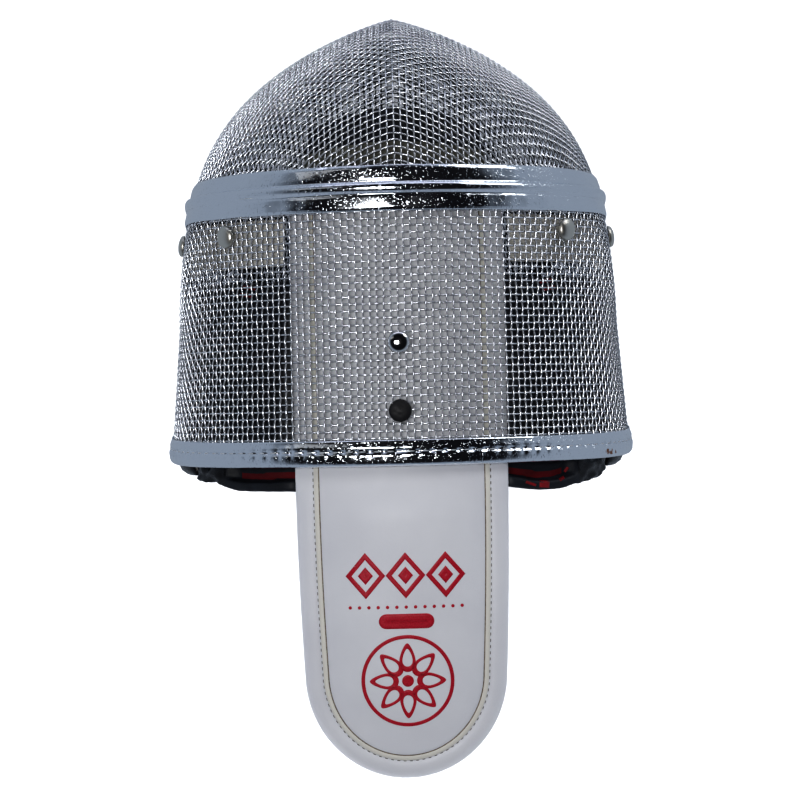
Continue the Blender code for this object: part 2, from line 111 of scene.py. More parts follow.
PITCH, WIRE, WIRE_SIDES = 3.1, 0.8, 6  # apart, thickness, sides of a wire's section
FIRST_ROW = 0.2  # of the crown's crosswise wires, forward of the rim
FACE_START = 112.0  # down to the face's row that runs level from the keel to the ears
WIRES_TO_THE_EAR = 88  # from the middle down each side of the crown
WIRES_TO_THE_SEAM = 62  # from the keel to each side of the face
SHEET_INSET = 0.8  # from the wire ends to the seam and the rim
NUDGE = 0.05  # to each side of a point where the skin's slope is measured


def lengths(line):
    return np.r_[0, np.cumsum(np.linalg.norm(np.diff(line, axis=0), axis=1))]


def at_lengths(line, wanted, measured=None):
    """The line's points at the wanted lengths of it, or of the line that it was made from."""
    length = lengths(line if measured is None else measured)
    return np.stack([np.interp(wanted, length, axis) for axis in line.T], axis=1)


def bend(u, start, leave, end, arrive):
    """Points at shares u of a bend from start to end, with the ways it leaves and arrives."""
    return (
        (2 * u**3 - 3 * u**2 + 1) * start
        + (u**3 - 2 * u**2 + u) * leave
        + (3 * u**2 - 2 * u**3) * end
        + (u**3 - u**2) * arrive
    )


def smooth_line(rows, steps):
    """A smooth line through the rows, with the same number of points on each stretch."""
    p = np.array(rows, float)
    t = lengths(p)
    slope = np.gradient(p, t, axis=0)
    u = np.arange(steps)[:, None] / steps
    line = []
    for k, h in enumerate(np.diff(t)):
        line.append(bend(u, p[k], h * slope[k], p[k + 1], h * slope[k + 1]))
    return np.concatenate(line + [p[-1:]])


def direction(along, down):
    return np.arctan2(EAR_DOWN - down, along - EAR_ALONG)


outline = smooth_line(OUTLINE, OUTLINE_STEPS)
outline_angle = direction(outline[:, 0], outline[:, 1])[::-1]
outline_nearness = 1 / np.hypot(outline[:, 0] - EAR_ALONG, outline[:, 1] - EAR_DOWN)[::-1]
arch_angle, arch_roundness, arch_shoulder = np.array(ARCHES, float).T


def gauge(along, down):
    """0 at the ear, and 1 on the outline."""
    reach = np.hypot(along - EAR_ALONG, down - EAR_DOWN)
    return reach * np.interp(direction(along, down), outline_angle, outline_nearness)


def widest(along):
    return HALF_WIDTH_REAR + (HALF_WIDTH_SEAM - HALF_WIDTH_REAR) * along / CROWN_LENGTH


def arch(along, down):
    degrees = np.degrees(direction(along, down))
    return (
        np.interp(degrees, arch_angle, arch_roundness),
        np.interp(degrees, arch_angle, arch_shoulder),
    )


def skin(side):
    """The points of the skin that a line of the side view stands for."""
    along, down = side[:, 0], side[:, 1]
    roundness, shoulder = arch(along, down)
    inside = np.clip(1 - gauge(along, down) ** roundness, 0, 1)
    return np.stack([widest(along) * inside ** (1 / shoulder), along, down], axis=1)


def height_over_skin(p):
    across, along, down = np.abs(p[..., 0]), p[..., 1], p[..., 2]
    roundness, shoulder = arch(along, down)
    return gauge(along, down) ** roundness + (across / widest(along)) ** shoulder - 1


def slope_of_skin(p):
    nudges = np.eye(3) * NUDGE
    rises = [height_over_skin(p + nudge) - height_over_skin(p - nudge) for nudge in nudges]
    return np.stack(rises, axis=-1) / (2 * NUDGE)


def unit(p):
    return p / np.linalg.norm(p, axis=-1, keepdims=True)


def outward(p):
    return unit(slope_of_skin(p))


def settle(p):
    for _ in range(8):
        slope = slope_of_skin(p)
        fall = height_over_skin(p) / (slope**2).sum(axis=-1)
        p = p - fall[..., None] * slope
    return p


def sink(p, depth):
    return p - np.asarray(depth)[..., None] * outward(p)


def place(p):
    """Millimetres across, along and down, as metres in the frame."""
    across, along, down = np.moveaxis(np.asarray(p, float), -1, 0)
    forward = along * math.cos(CROWN_SLOPE) + down * math.sin(CROWN_SLOPE)
    up = along * math.sin(CROWN_SLOPE) - down * math.cos(CROWN_SLOPE)
    return np.stack([across, MIDDLE_FORWARD - forward, up + RIM_HEIGHT], axis=-1) * MM


def seam_line(steps=400):
    down = JAW[1] * np.linspace(0, 1, steps) ** 2
    below = np.maximum(down - SEAM_STRAIGHT, 0)
    along = CROWN_LENGTH - (SEAM_BEND - np.sqrt(SEAM_BEND**2 - below**2))
    along += (JAW[0] - along[-1]) * (below / below[-1]) ** 2
    return np.stack([along, down], axis=1)


def rim_line(steps=60):
    line = smooth_line(RIM, steps)
    near = line[0] + (line[1] - line[0]) * np.linspace(0, 1, steps)[:, None] ** 2
    return np.concatenate([near[:-1], line[1:]])


seam, rim = seam_line(), rim_line()


def round_from(start, still, steps):
    """Points a pitch apart on the skin, from the middle outward, square to a still direction."""
    line = [start]
    ahead = np.broadcast_to((1.0, 0.0, 0.0), start.shape)
    for _ in range(steps):
        here = line[-1]
        p = here + ahead * PITCH
        for _ in range(6):
            slope = slope_of_skin(p)
            slope = slope - (slope * still).sum(axis=-1, keepdims=True) * still
            p = p - slope * (height_over_skin(p) / (slope**2).sum(axis=-1))[..., None]
            p = here + unit(p - here) * PITCH
        ahead = (p - here) / PITCH
        line.append(p)
    return np.stack(line, axis=1)


def draw_net(keel, row):
    """Crossings a pitch apart both ways, stepped off from the keel and the first row."""
    net = np.zeros((len(keel), len(row), 3))
    net[:, 0], net[0] = keel, row
    for ring in range(2, len(keel) + len(row) - 1):
        i = np.arange(max(1, ring - len(row) + 1), min(len(keel), ring))
        j = ring - i
        near, beside = net[i - 1, j], net[i, j - 1]
        p = near + beside - net[i - 1, j - 1]
        for _ in range(10):
            short = [((p - q) ** 2).sum(axis=-1) - PITCH**2 for q in (near, beside)]
            miss = np.stack(short + [height_over_skin(p) * PITCH**2], axis=-1)
            slope = slope_of_skin(p) * PITCH**2
            lean = np.stack([2 * (p - near), 2 * (p - beside), slope], axis=-2)
            move = np.linalg.pinv(lean, rcond=1e-4) @ miss[..., None]
            p = p - np.clip(move[..., 0], -1, 1)
        net[i, j] = p
    return net


def both_halves(net):
    """A net from the middle outward, with its mirror image before it."""
    return np.concatenate([net[:, :0:-1] * (-1, 1, 1), net], axis=1)


def set_out(name, data):
    """A mesh, a lamp or a camera, put in the scene."""
    thing = bpy.data.objects.new(name, data)
    bpy.context.collection.objects.link(thing)
    return thing


def body(name, points, faces, material):
    """A piece that rides on the mask, from millimetre points and their faces."""
    mesh = bpy.data.meshes.new(name)
    mesh.from_pydata(place(points).tolist(), [], faces)
    mesh.polygons.foreach_set("use_smooth", [True] * len(mesh.polygons))
    mesh.materials.append(material)
    piece = set_out(name, mesh)
    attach(piece, "root")
    return piece


def rods(name, path, kept, top, radius, turn, material):
    """Round rods along rows of points, where they are kept, with corners at turns from the top."""
    run = unit(np.gradient(path, axis=1))
    top = unit(top - (top * run).sum(axis=-1, keepdims=True) * run)
    ring = top[..., None, :] * np.cos(turn)[:, None]
    ring = ring + np.cross(top, run)[..., None, :] * np.sin(turn)[:, None]
    points = (path[..., None, :] + ring * radius)[kept].reshape(-1, 3)
    k = np.arange(len(turn))
    up = (k + 1) % len(turn)
    first = np.where(kept, np.cumsum(kept).reshape(kept.shape) - 1, 0) * len(turn)
    joined = kept[:, 1:] & kept[:, :-1]
    a, b = first[:, :-1][joined][:, None], first[:, 1:][joined][:, None]
    faces = np.stack([a + k, b + k, b + up, a + up], axis=-1).reshape(-1, 4).tolist()
    edge = np.zeros_like(kept[:, :1])
    starts = kept & ~np.concatenate([edge, kept[:, :-1]], axis=1)
    ends = kept & ~np.concatenate([kept[:, 1:], edge], axis=1)
    faces += (first[starts][:, None] + k).tolist()
    faces += (first[ends][:, None] + k[::-1]).tolist()
    return body(name, points, faces, material)


def weave(name, sheet, net, kept, over):
    """Round wires along the net's rows, each crimped over and under the wires it crosses, their
    inward faces near-black as painted shade.
    """
    after = np.concatenate([net[:, 1:], 2 * net[:, -1:] - net[:, -2:-1]], axis=1)
    middle, out = sink(net, WIRE), outward(net)
    rise = np.where(over, 1.0, -1.0)[..., None] * out * WIRE / 2
    path = np.stack([middle + rise, middle + (after - net) / 2], axis=2).reshape(len(net), -1, 3)
    out, kept = np.repeat(out, 2, axis=1), np.repeat(kept, 2, axis=1)
    turn = (np.arange(WIRE_SIDES) - 0.5) * 2 * math.pi / WIRE_SIDES
    wires = rods(name, path, kept, out, WIRE / 2, turn, steel_wire)
    # Painted shade: the wire's inward-facing faces take the near-black material.
    wires.data.materials.append(wire_inner_painted_shade)
    face = np.arange(len(wires.data.polygons))
    inward = abs(face % WIRE_SIDES - WIRE_SIDES / 2) < WIRE_SIDES / 4
    inward &= face < (kept[:, 1:] & kept[:, :-1]).sum() * WIRE_SIDES
    wires.data.polygons.foreach_set("material_index", inward.astype(int))
    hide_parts(sheet)


def new_material(name, colour, roughness, metallic=0.0):
    """A material with its plain values, which nodes may vary afterwards."""
    made = bpy.data.materials.new(name)
    made.use_nodes = True
    shader = made.node_tree.nodes["Principled BSDF"]
    shader.inputs["Base Color"].default_value = (*colour, 1)
    shader.inputs["Roughness"].default_value = roughness
    shader.inputs["Metallic"].default_value = metallic
    made.diffuse_color = (*colour, 1)
    return made


def node(material, kind, *links, **values):
    """A node of a material or of the world, with its values set and its inputs linked."""
    made = material.node_tree.nodes.new(f"ShaderNode{kind}")
    for name, value in values.items():
        if name in made.inputs:
            made.inputs[name].default_value = value
        else:
            setattr(made, name, value)
    for at, socket in links:
        material.node_tree.links.new(socket, made.inputs[at])
    return made


def link(material, socket, name):
    """Let a socket vary one of the shader's inputs."""
    shader = material.node_tree.nodes["Principled BSDF"]
    material.node_tree.links.new(socket, shader.inputs[name])


def cloud(material, per_metre, detail=4.0, stretch=(1, 1, 1)):
    """Noise in the piece's own place, with so many lumps in a metre."""
    place_on = node(material, "TexCoord").outputs["Object"]
    scaled = node(material, "Mapping", ("Vector", place_on), Scale=stretch)
    made = node(material, "TexNoise", ("Vector", scaled.outputs[0]), Scale=per_metre, Detail=detail)
    return made.outputs["Fac"]


def ramp(material, socket, low, high, between=(0.35, 0.65)):
    """Two colours, or two greys, spread between two levels of a socket."""
    made = node(material, "ValToRGB", ("Fac", socket))
    for stop, level, tone in zip(made.color_ramp.elements, between, (low, high)):
        stop.position = level
        stop.color = (*tone, 1) if hasattr(tone, "__len__") else (tone, tone, tone, 1)
    return made.outputs["Color"]


def bump(material, socket, depth, strength=1.0, under=None):
    """Relief of so many metres from a socket, over what relief there is."""
    links = [("Height", socket)] + ([("Normal", under)] if under else [])
    return node(material, "Bump", *links, Distance=depth, Strength=strength).outputs["Normal"]


def vary(material, name, low, high, *lumps, between=(0.35, 0.65)):
    """Let noise spread one of the shader's inputs from low to high."""
    link(material, ramp(material, cloud(material, *lumps), low, high, between), name)


def grained(material, per_metre, detail, depth, strength=1.0, under=None):
    """Give the surface a relief of noise."""
    relief = bump(material, cloud(material, per_metre, detail), depth, strength, under)
    link(material, relief, "Normal")


steel_wire = new_material("steel_wire", (0.80, 0.82, 0.87), 0.2, 0.8)
vary(steel_wire, "Base Color", (0.67, 0.69, 0.74), (0.83, 0.85, 0.89), 90, 3)
vary(steel_wire, "Roughness", 0.15, 0.27, 900, 2)
# Painted shade: the inward faces of each wire get a near-black material that stands in for the dark
# inside of the mask.
wire_inner_painted_shade = new_material("painted_shade_inside_of_wire", (0.012, 0.013, 0.015), 0.5)
wire_inner_painted_shade.node_tree.nodes["Principled BSDF"].inputs["Specular IOR Level"].default_value = 0.1
vary(wire_inner_painted_shade, "Roughness", 0.42, 0.6, 700, 3)

crown_starts = np.arange(FIRST_ROW, CROWN_LENGTH, PITCH)
crown_starts = np.stack([0 * crown_starts, crown_starts, 0 * crown_starts], axis=1)
crown_net = both_halves(round_from(crown_starts, np.array((0.0, 1.0, 0.0)), WIRES_TO_THE_EAR))

keel = outline[(outline[:, 0] >= CROWN_LENGTH - 1e-9) | (outline[:, 1] > EAR_DOWN)]
keel_length = lengths(keel)
keel_start = np.interp(FACE_START, keel[:, 1], keel_length)
up_steps = np.arange(0, keel_start, PITCH)
down_steps = np.arange(0, keel_length[-1] - keel_start, PITCH)
keel_up = at_lengths(keel, keel_start - up_steps)
keel_down = at_lengths(keel, keel_start + down_steps)
keel_run = unit(np.r_[0, keel_down[1] - keel_up[1]])
halves = []
for half in (keel_up, keel_down):
    half = np.concatenate([np.zeros((len(half), 1)), half], axis=1)
    level = round_from(half[:1], keel_run, WIRES_TO_THE_SEAM)[0]
    halves.append(draw_net(half, level))
face_net = both_halves(np.concatenate([halves[0][:0:-1], halves[1]]))
middle_row = len(halves[0]) - 1


def past_line(p, line, inset):
    """How far the points lie forward of a line of the side view, less the inset."""
    return p[..., 1] - np.interp(p[..., 2], line[:, 1], line[:, 0]) - inset


crown_kept = (past_line(crown_net, rim, SHEET_INSET) > 0) & (crown_net[..., 2] < JAW[1])
crown_kept &= past_line(crown_net, seam, -SHEET_INSET) < 0
front_line = np.concatenate([seam, rim[rim[:, 1] > JAW[1]]])
face_kept = (past_line(face_net, front_line, SHEET_INSET) > 0) & (face_net[..., 2] < RIM[-1][1])


def chequered(net):
    """Where a wire along the rows lies over the one that it crosses."""
    return np.add.outer(np.arange(net.shape[0]), np.arange(net.shape[1])) % 2 == 0


over = chequered(crown_net)
weave("crown_wires_crosswise", "crown_mesh", crown_net, crown_kept, over)
weave("crown_wires_lengthwise", "crown_mesh", crown_net.swapaxes(0, 1), crown_kept.T, ~over.T)
over, half = chequered(face_net), middle_row
weave("face_wires_level_upper", "face_mesh", face_net[:half], face_kept[:half], over[:half])
weave("face_wires_level_lower", "face_mesh", face_net[half:], face_kept[half:], over[half:])
net, kept, over, half = face_net.swapaxes(0, 1), face_kept.T, ~over.T, len(face_net[0]) // 2
weave("face_wires_upright_right", "face_mesh", net[:half], kept[:half], over[:half])
weave("face_wires_upright_left", "face_mesh", net[half:], kept[half:], over[half:])


# The seam band. Mirror foil on a cloth tape 20 mm wide, ironed down over the edges of both
# sheets from jaw to jaw. A cord under its middle makes the bead, and the wires below and the
# iron have left it finely pitted and creased.

BAND_HALF_WIDTH, BAND_BORDER, BAND_STEP, BAND_END = 10.0, 1.6, 1.2, 9.0
BAND_COLUMNS, BAND_UNDER_COLUMNS = 41, 9
FOIL_LIFT, FOIL_EDGE, FOIL_UNDER = 1.15, 0.6, 0.35  # over the skin: middle, border, underside
FOIL_COLOUR, RUST_COLOUR = (0.87, 0.91, 0.96), (0.32, 0.13, 0.06)
BEAD_HALF_WIDTH, BEAD_RISE, BEAD_FADE = 2.35, 1.7, 16.0  # it fades into the flat tape at each end
GROOVE_OUT, GROOVE_WIDTH, GROOVE_DEPTH = 0.4, 0.6, 0.3  # along both sides of the bead
BAND_CREASES, BAND_PITS = (9.0, 0.2), (2.3, 0.035)  # size, depth
SCUFF = (-92.5, 3.6, 54.5)  # a rusty one, on the wearer's right of the rim
SCUFF_REACH = (0.0135, 0.0021)  # metres, along the rim and across it


def dents(p, size, depth):
    """Smooth dents of about the size, worked out at each point."""
    flat = (p / size).reshape(-1, 3)
    return depth * np.array([noise.noise(Vector(q)) for q in flat]).reshape(p.shape[:-1])


def across_run(stations, ring=False):
    """Square to the line of stations, along the skin."""
    if ring:
        run = np.roll(stations, -1, axis=0) - np.roll(stations, 1, axis=0)
    else:
        run = np.gradient(stations, axis=0)
    return unit(np.cross(run, outward(stations)))


def beside(stations, offsets, ring=False):
    """The skin beside a line, at each offset: stations by offsets."""
    aside = across_run(stations, ring)
    return np.stack([settle(stations + aside * offset) for offset in offsets], axis=1)


def hoops(stations, count, ring=False):
    """The faces from each station's closed section to the next, and round to the first in a ring."""
    spans = stations if ring else stations - 1
    s, k = np.meshgrid(np.arange(spans), np.arange(count), indexing="ij")
    here, there, after = s * count, (s + 1) % stations * count, (k + 1) % count
    faces = np.stack([here + k, here + after, there + after, there + k], axis=-1)
    return faces.reshape(-1, 4)


def swept(name, sections, material, ring=False):
    """A closed body through closed sections."""
    stations, count = sections.shape[:2]
    faces = hoops(stations, count, ring).tolist()
    if not ring:
        faces.append(list(range(count))[::-1])
        faces.append(list(range((stations - 1) * count, stations * count)))
    piece = body(name, sections.reshape(-1, 3), faces, material)
    turn_out(piece)
    return piece


def turn_out(piece, merge=0.0):
    """Turn a closed piece's faces outward, once points nearer than so many metres are merged."""
    shell = bmesh.new()
    shell.from_mesh(piece.data)
    if merge:
        bmesh.ops.remove_doubles(shell, verts=shell.verts, dist=merge)
        bmesh.ops.dissolve_degenerate(shell, edges=shell.edges, dist=merge)
    bmesh.ops.recalc_face_normals(shell, faces=shell.faces)
    shell.to_mesh(piece.data)
    shell.free()


def step(x):
    """0 below 0, 1 over 1, and smooth between."""
    x = np.clip(x, 0, 1)
    return x * x * (3 - 2 * x)


foil = new_material("mirror_foil", FOIL_COLOUR, 0.1, 1.0)
vary(foil, "Roughness", 0.08, 0.18, 60, 4, between=(0.4, 0.7))
creased = bump(foil, cloud(foil, 120, 2), 0.0003, 0.35)
pits = ramp(foil, cloud(foil, 1000, 1), 0.0, 1.0, (0.6, 0.7))
link(foil, bump(foil, pits, 0.00009, 0.6, creased), "Normal")
at_foil = node(foil, "TexCoord").outputs["Object"]
from_scuff = node(foil, "VectorMath", (0, at_foil), operation="SUBTRACT")
from_scuff.inputs[1].default_value = place(SCUFF)
from_scuff = from_scuff.outputs["Vector"]
far_off = node(foil, "VectorMath", (0, from_scuff), operation="LENGTH").outputs["Value"]
off_line = node(foil, "VectorMath", (0, from_scuff), operation="DOT_PRODUCT")
off_line.inputs[1].default_value = (place((0.0, 1.0, 0.0)) - place((0.0, 0.0, 0.0))) / MM
off_line = node(foil, "Math", (0, off_line.outputs["Value"]), operation="ABSOLUTE").outputs[0]
flaked = cloud(foil, 420, 6)
for distance, reach in zip((far_off, off_line), SCUFF_REACH):
    fading = {"From Min": reach / 2, "From Max": reach, "To Min": 1.0, "To Max": 0.0}
    near_scuff = node(foil, "MapRange", ("Value", distance), **fading).outputs[0]
    flaked = node(foil, "Math", (0, near_scuff), (1, flaked), operation="MULTIPLY").outputs[0]
link(foil, ramp(foil, flaked, FOIL_COLOUR, RUST_COLOUR, (0.47, 0.54)), "Base Color")

seam_skin = skin(seam)
seam_run = lengths(seam_skin)[-1] - BAND_END
seam_half = skin(at_lengths(seam, np.linspace(0, seam_run, int(seam_run / BAND_STEP)), seam_skin))
seam_stations = np.concatenate([seam_half[:0:-1] * (-1, 1, 1), seam_half])
to_end = np.linspace(seam_run, 0, len(seam_half))
to_end = np.concatenate([to_end[:0:-1], to_end])[:, None]
offset = np.r_[np.linspace(-1, 1, BAND_COLUMNS), np.linspace(1, -1, BAND_UNDER_COLUMNS)]
offset = offset * BAND_HALF_WIDTH
over_skin = beside(seam_stations, offset)
border = np.clip((BAND_HALF_WIDTH - abs(offset)) / BAND_BORDER, 0, 1)
lift = FOIL_EDGE + (FOIL_LIFT - FOIL_EDGE) * step(border)
bead = np.sqrt(np.clip(1 - (offset / BEAD_HALF_WIDTH) ** 2, 0, 1))
groove = np.exp(-(((abs(offset) - BEAD_HALF_WIDTH - GROOVE_OUT) / GROOVE_WIDTH) ** 2))
lift = lift + (BEAD_RISE * bead - GROOVE_DEPTH * groove) * step(to_end / BEAD_FADE)
limp = border * (0.08 + 0.92 * step((abs(offset) - BEAD_HALF_WIDTH) / 1.5))
lift = lift + (dents(over_skin, *BAND_CREASES) + dents(over_skin, *BAND_PITS)) * limp
lift[:, BAND_COLUMNS:] = FOIL_UNDER
band = swept("seam_tape", sink(over_skin, -lift), foil)
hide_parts("seam_band")


# The rim trim. The same tape, folded over the raw edge of both sheets all round the opening and
# sewn through with one line of grey thread. The tape puffs up a little between the stitches.

TRIM_DEPTH, TRIM_INSIDE, TRIM_RISE = 10.2, 9.0, 3.8  # in from the fold: outside, inside, sloped
TRIM_FACE, TRIM_UNDER = (8.2, 1.8), 0.7  # the finely divided part, and the inner leaf's thickness
FOLD_REACH, FOLD_FROM = 1.3, 1.6  # behind the sheets' edge, and in front of it
SHEET_MIDDLE, TRIM_HALF = -1.0, 2.2  # over the skin: the middle of the folded edge, and its half
STITCH, STITCH_LINE, PER_STITCH = 6.1, 5.3, 7  # apart, in from the fold, stations for each
STITCH_WIDTH, STITCH_DEPTH, HOLE_DEPTH = 0.8, 0.22, 0.75
PUFFS = ((-2.0, 1.2, 0.32), (1.9, 1.1, 0.12))  # from the stitches, width, height between holes
TRIM_CREASES, TRIM_PITS = (9.0, 0.12), (2.6, 0.025)  # size, depth
JAW_LAP, JAW_LAP_REACH = 1.1, 13.0  # the trim stands up over the end of the seam band
THREAD, THREAD_SIDES = 0.24, 5  # radius

rim_skin = skin(rim)
half_run = lengths(rim_skin)[-1]
stitches = int(round(2 * half_run / STITCH))
share = np.linspace(0, 2, stitches * PER_STITCH + 1)[:-1]
one_way = at_lengths(rim, np.where(share > 1, 2 - share, share) * half_run, rim_skin)
stations = skin(one_way) * np.where(share > 1, -1, 1)[:, None] ** np.array((1, 0, 0))
turn = np.linspace(0, math.pi, 9)
outside = np.r_[np.linspace(TRIM_DEPTH, TRIM_DEPTH - 1.4, 3), np.linspace(*TRIM_FACE, 23)]
fold = FOLD_FROM - (FOLD_REACH + FOLD_FROM) * np.sin(turn[1:-1])
inside = np.linspace(FOLD_FROM, TRIM_INSIDE, 8)
offset = np.concatenate([outside, fold, inside, inside[::-1], [-0.2], [0.2, 5.0, TRIM_DEPTH]])
over_skin = beside(stations, offset, ring=True)
lift = np.concatenate(
    [
        FOIL_EDGE + (TRIM_HALF + SHEET_MIDDLE - FOIL_EDGE) * step((TRIM_DEPTH - outside) / TRIM_RISE),
        SHEET_MIDDLE + TRIM_HALF * np.cos(turn[1:-1]),
        np.full(8, SHEET_MIDDLE - TRIM_HALF),
        np.full(8, SHEET_MIDDLE - TRIM_HALF + TRIM_UNDER),
        [SHEET_MIDDLE],
        np.full(3, FOIL_UNDER),
    ]
)
at_hole = np.cos(math.pi * np.arange(len(stations)) / PER_STITCH)[:, None] ** 6
from_line = offset - STITCH_LINE
shown = np.arange(len(offset)) < len(outside) + 3
sewn = -np.exp(-((from_line / STITCH_WIDTH) ** 2)) * (STITCH_DEPTH + HOLE_DEPTH * at_hole)
for out, wide, high in PUFFS:
    sewn = sewn + np.exp(-(((from_line - out) / wide) ** 2)) * (high - (high - 0.02) * at_hole)
loose = np.clip((TRIM_DEPTH - abs(offset)) / 1.5, 0, 1) * shown
lift = lift + shown * sewn
lift = lift + (dents(over_skin, *TRIM_CREASES) + dents(over_skin, *TRIM_PITS)) * loose
jaws = [skin(np.array([JAW])) * (side, 1, 1) for side in (1, -1)]
from_jaw = np.minimum(*(np.linalg.norm(over_skin - jaw, axis=-1) for jaw in jaws))
lift = lift + JAW_LAP * np.exp(-((from_jaw / JAW_LAP_REACH) ** 2)) * shown * loose
trim = swept("rim_tape", sink(over_skin, -lift), foil, ring=True)
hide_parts("rim_trim")


def thread_tubes(name, runs, radius, material):
    """Short round threads, one along each run of points, with closed ends."""
    top = np.cross(np.gradient(runs, axis=1), (0.3, 0.2, -1.0))
    turn = np.arange(THREAD_SIDES) * 2 * math.pi / THREAD_SIDES
    return rods(name, runs, np.ones(runs.shape[:2], bool), top, radius, turn, material)


grey_thread = new_material("grey_thread", (0.48, 0.51, 0.56), 0.6)
grained(grey_thread, 2500, 2, 0.00005)
line_at = int(np.argmin(abs(offset - STITCH_LINE)))
line = sink(over_skin[:, line_at], -(lift[:, line_at] + THREAD / 2))
bed = np.arange(stitches)[:, None] * PER_STITCH + np.arange(2, PER_STITCH - 1)
runs = line[bed]
runs[:, 0], runs[:, -1] = sink(runs[:, 0], 0.3), sink(runs[:, -1], 0.3)
thread = thread_tubes("rim_stitches", runs, THREAD, grey_thread)


# The rivets. Two domes hold the tongue's spring strip under the crown, and four satin ones the
# webbing. The front dome is polished; the rear one is flat black, a painted dark reflection of
# a polished dome. Each is pressed steel, nickel plated, with its foot clenched inside.

HEAD_RADIUS, HEAD_EDGE, HEAD_LIFT, RIVET_SIDES = 5.0, 0.45, 0.5, 40
SHANK_RADIUS, FOOT_RADIUS, FOOT, FOOT_GAP = 1.4, 3.6, 0.7, 0.4
TONGUE_SINK, STRIP = 4.5, 3.0  # the strip under the crown, and the leaf's thickness round it
STRAP_SINK, STRAP = 3.1, 1.6  # the webbing under the crown, and its thickness
TONGUE_RIVETS = (("front", 54.5, 2.9), ("rear", 24.6, 1.5))  # along, rise of the dome
STRAP_RIVETS = (("upper", 48.5), ("lower", 88.0))  # degrees round the arch
STRAP_RIVET_ALONG, STRAP_RIVET_RISE = 104.0, 2.3
HANDS = ((1, "left"), (-1, "right"))


def crown_point(along, degrees):
    """The skin at so many degrees round the crown's arch."""
    turn = np.radians(degrees)
    down = EAR_DOWN * (1 - np.cos(turn))
    return settle(np.stack(np.broadcast_arrays(widest(along) * np.sin(turn), along, down), axis=-1))


def turned(name, point, profile, material):
    """A round piece on the skin's outward axis, from rows of radius and height, pole to pole."""
    axis = outward(point)
    side = unit(np.cross(axis, (0.0, 1.0, 0.0)))
    k = np.arange(RIVET_SIDES)
    up = (k + 1) % RIVET_SIDES
    around = k * 2 * math.pi / RIVET_SIDES
    ring = np.cos(around)[:, None] * side + np.sin(around)[:, None] * np.cross(axis, side)
    points = [point + axis * profile[0][1]]
    for radius, height in profile[1:-1]:
        points += list(point + axis * height + ring * radius)
    points.append(point + axis * profile[-1][1])
    faces = np.stack([0 * k, 1 + k, 1 + up], axis=1).tolist()
    faces += (1 + hoops(len(profile) - 2, RIVET_SIDES)).tolist()
    last = 1 + (len(profile) - 3) * RIVET_SIDES
    faces += np.stack([0 * k + len(points) - 1, last + up, last + k], axis=1).tolist()
    piece = body(name, np.array(points), faces, material)
    turn_out(piece)
    return piece


def rivet_profile(rise, depth):
    """Radius and height of a rivet: dome, edge, shank and foot."""
    dome = [
        (HEAD_RADIUS * math.cos(a), HEAD_LIFT + HEAD_EDGE + rise * math.sin(a) ** 0.9)
        for a in np.radians(np.linspace(90, 8, 12))
    ]
    edge = [(HEAD_RADIUS, HEAD_LIFT + HEAD_EDGE), (HEAD_RADIUS, 0.6), (HEAD_RADIUS - 0.3, 0.42)]
    shank = [(SHANK_RADIUS, 0.4), (SHANK_RADIUS, -depth), (FOOT_RADIUS - 0.2, -depth)]
    foot = [(FOOT_RADIUS, -depth - 0.3), (FOOT_RADIUS - 0.5, -depth - FOOT), (0.0, -depth - FOOT)]
    return dome + edge + shank + foot


def plated(name, colour, low, high, metallic=1.0):
    """A plated finish, or a flat black one used as a painted dark reflection, its roughness from low
    to high.
    """
    made = new_material(name, colour, low, metallic)
    vary(made, "Roughness", low, high, 400, 5, (1, 1, 3))
    grained(made, 1500, 2, 0.00003, 0.5)
    return made


polished_nickel = plated("polished_nickel", (0.80, 0.80, 0.80), 0.06, 0.12)
satin_nickel = plated("satin_nickel", (0.72, 0.70, 0.64), 0.3, 0.42)
# Painted reflection: a flat black stands in for the dark reflection of a polished rivet.
rivet_painted_dark_reflection = plated("rivet_painted_dark_reflection", (0.012, 0.012, 0.014), 0.5, 0.7, 0.0)
for name, along, rise in TONGUE_RIVETS:
    profile = rivet_profile(rise, TONGUE_SINK + STRIP + FOOT_GAP)
    # The rear rivet takes the flat black painted dark reflection; the front one stays polished.
    finish = polished_nickel if name == "front" else rivet_painted_dark_reflection
    rivet = turned(f"tongue_rivet_head_{name}", crown_point(along, 0.0), profile, finish)
    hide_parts(f"tongue_rivet_{name}")
for side, hand in HANDS:
    for name, degrees in STRAP_RIVETS:
        spot = crown_point(STRAP_RIVET_ALONG, degrees) * (side, 1, 1)
        profile = rivet_profile(STRAP_RIVET_RISE, STRAP_SINK + STRAP + FOOT_GAP)
        rivet = turned(f"strap_rivet_head_{name}_{hand}", spot, profile, satin_nickel)
        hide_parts(f"strap_rivet_{name}_{hand}")


# The webbing. A light grey polyester strap 21 mm wide lies under the crown behind the seam on
# each side, from the temple to below the ear, where the liner hangs on it. Two rivets hold it.

STRAP_ALONG, STRAP_DEGREES, STRAP_STATIONS = (89.5, 110.5), (31.0, 108.0), 80
RIBS = 320.0  # in a metre

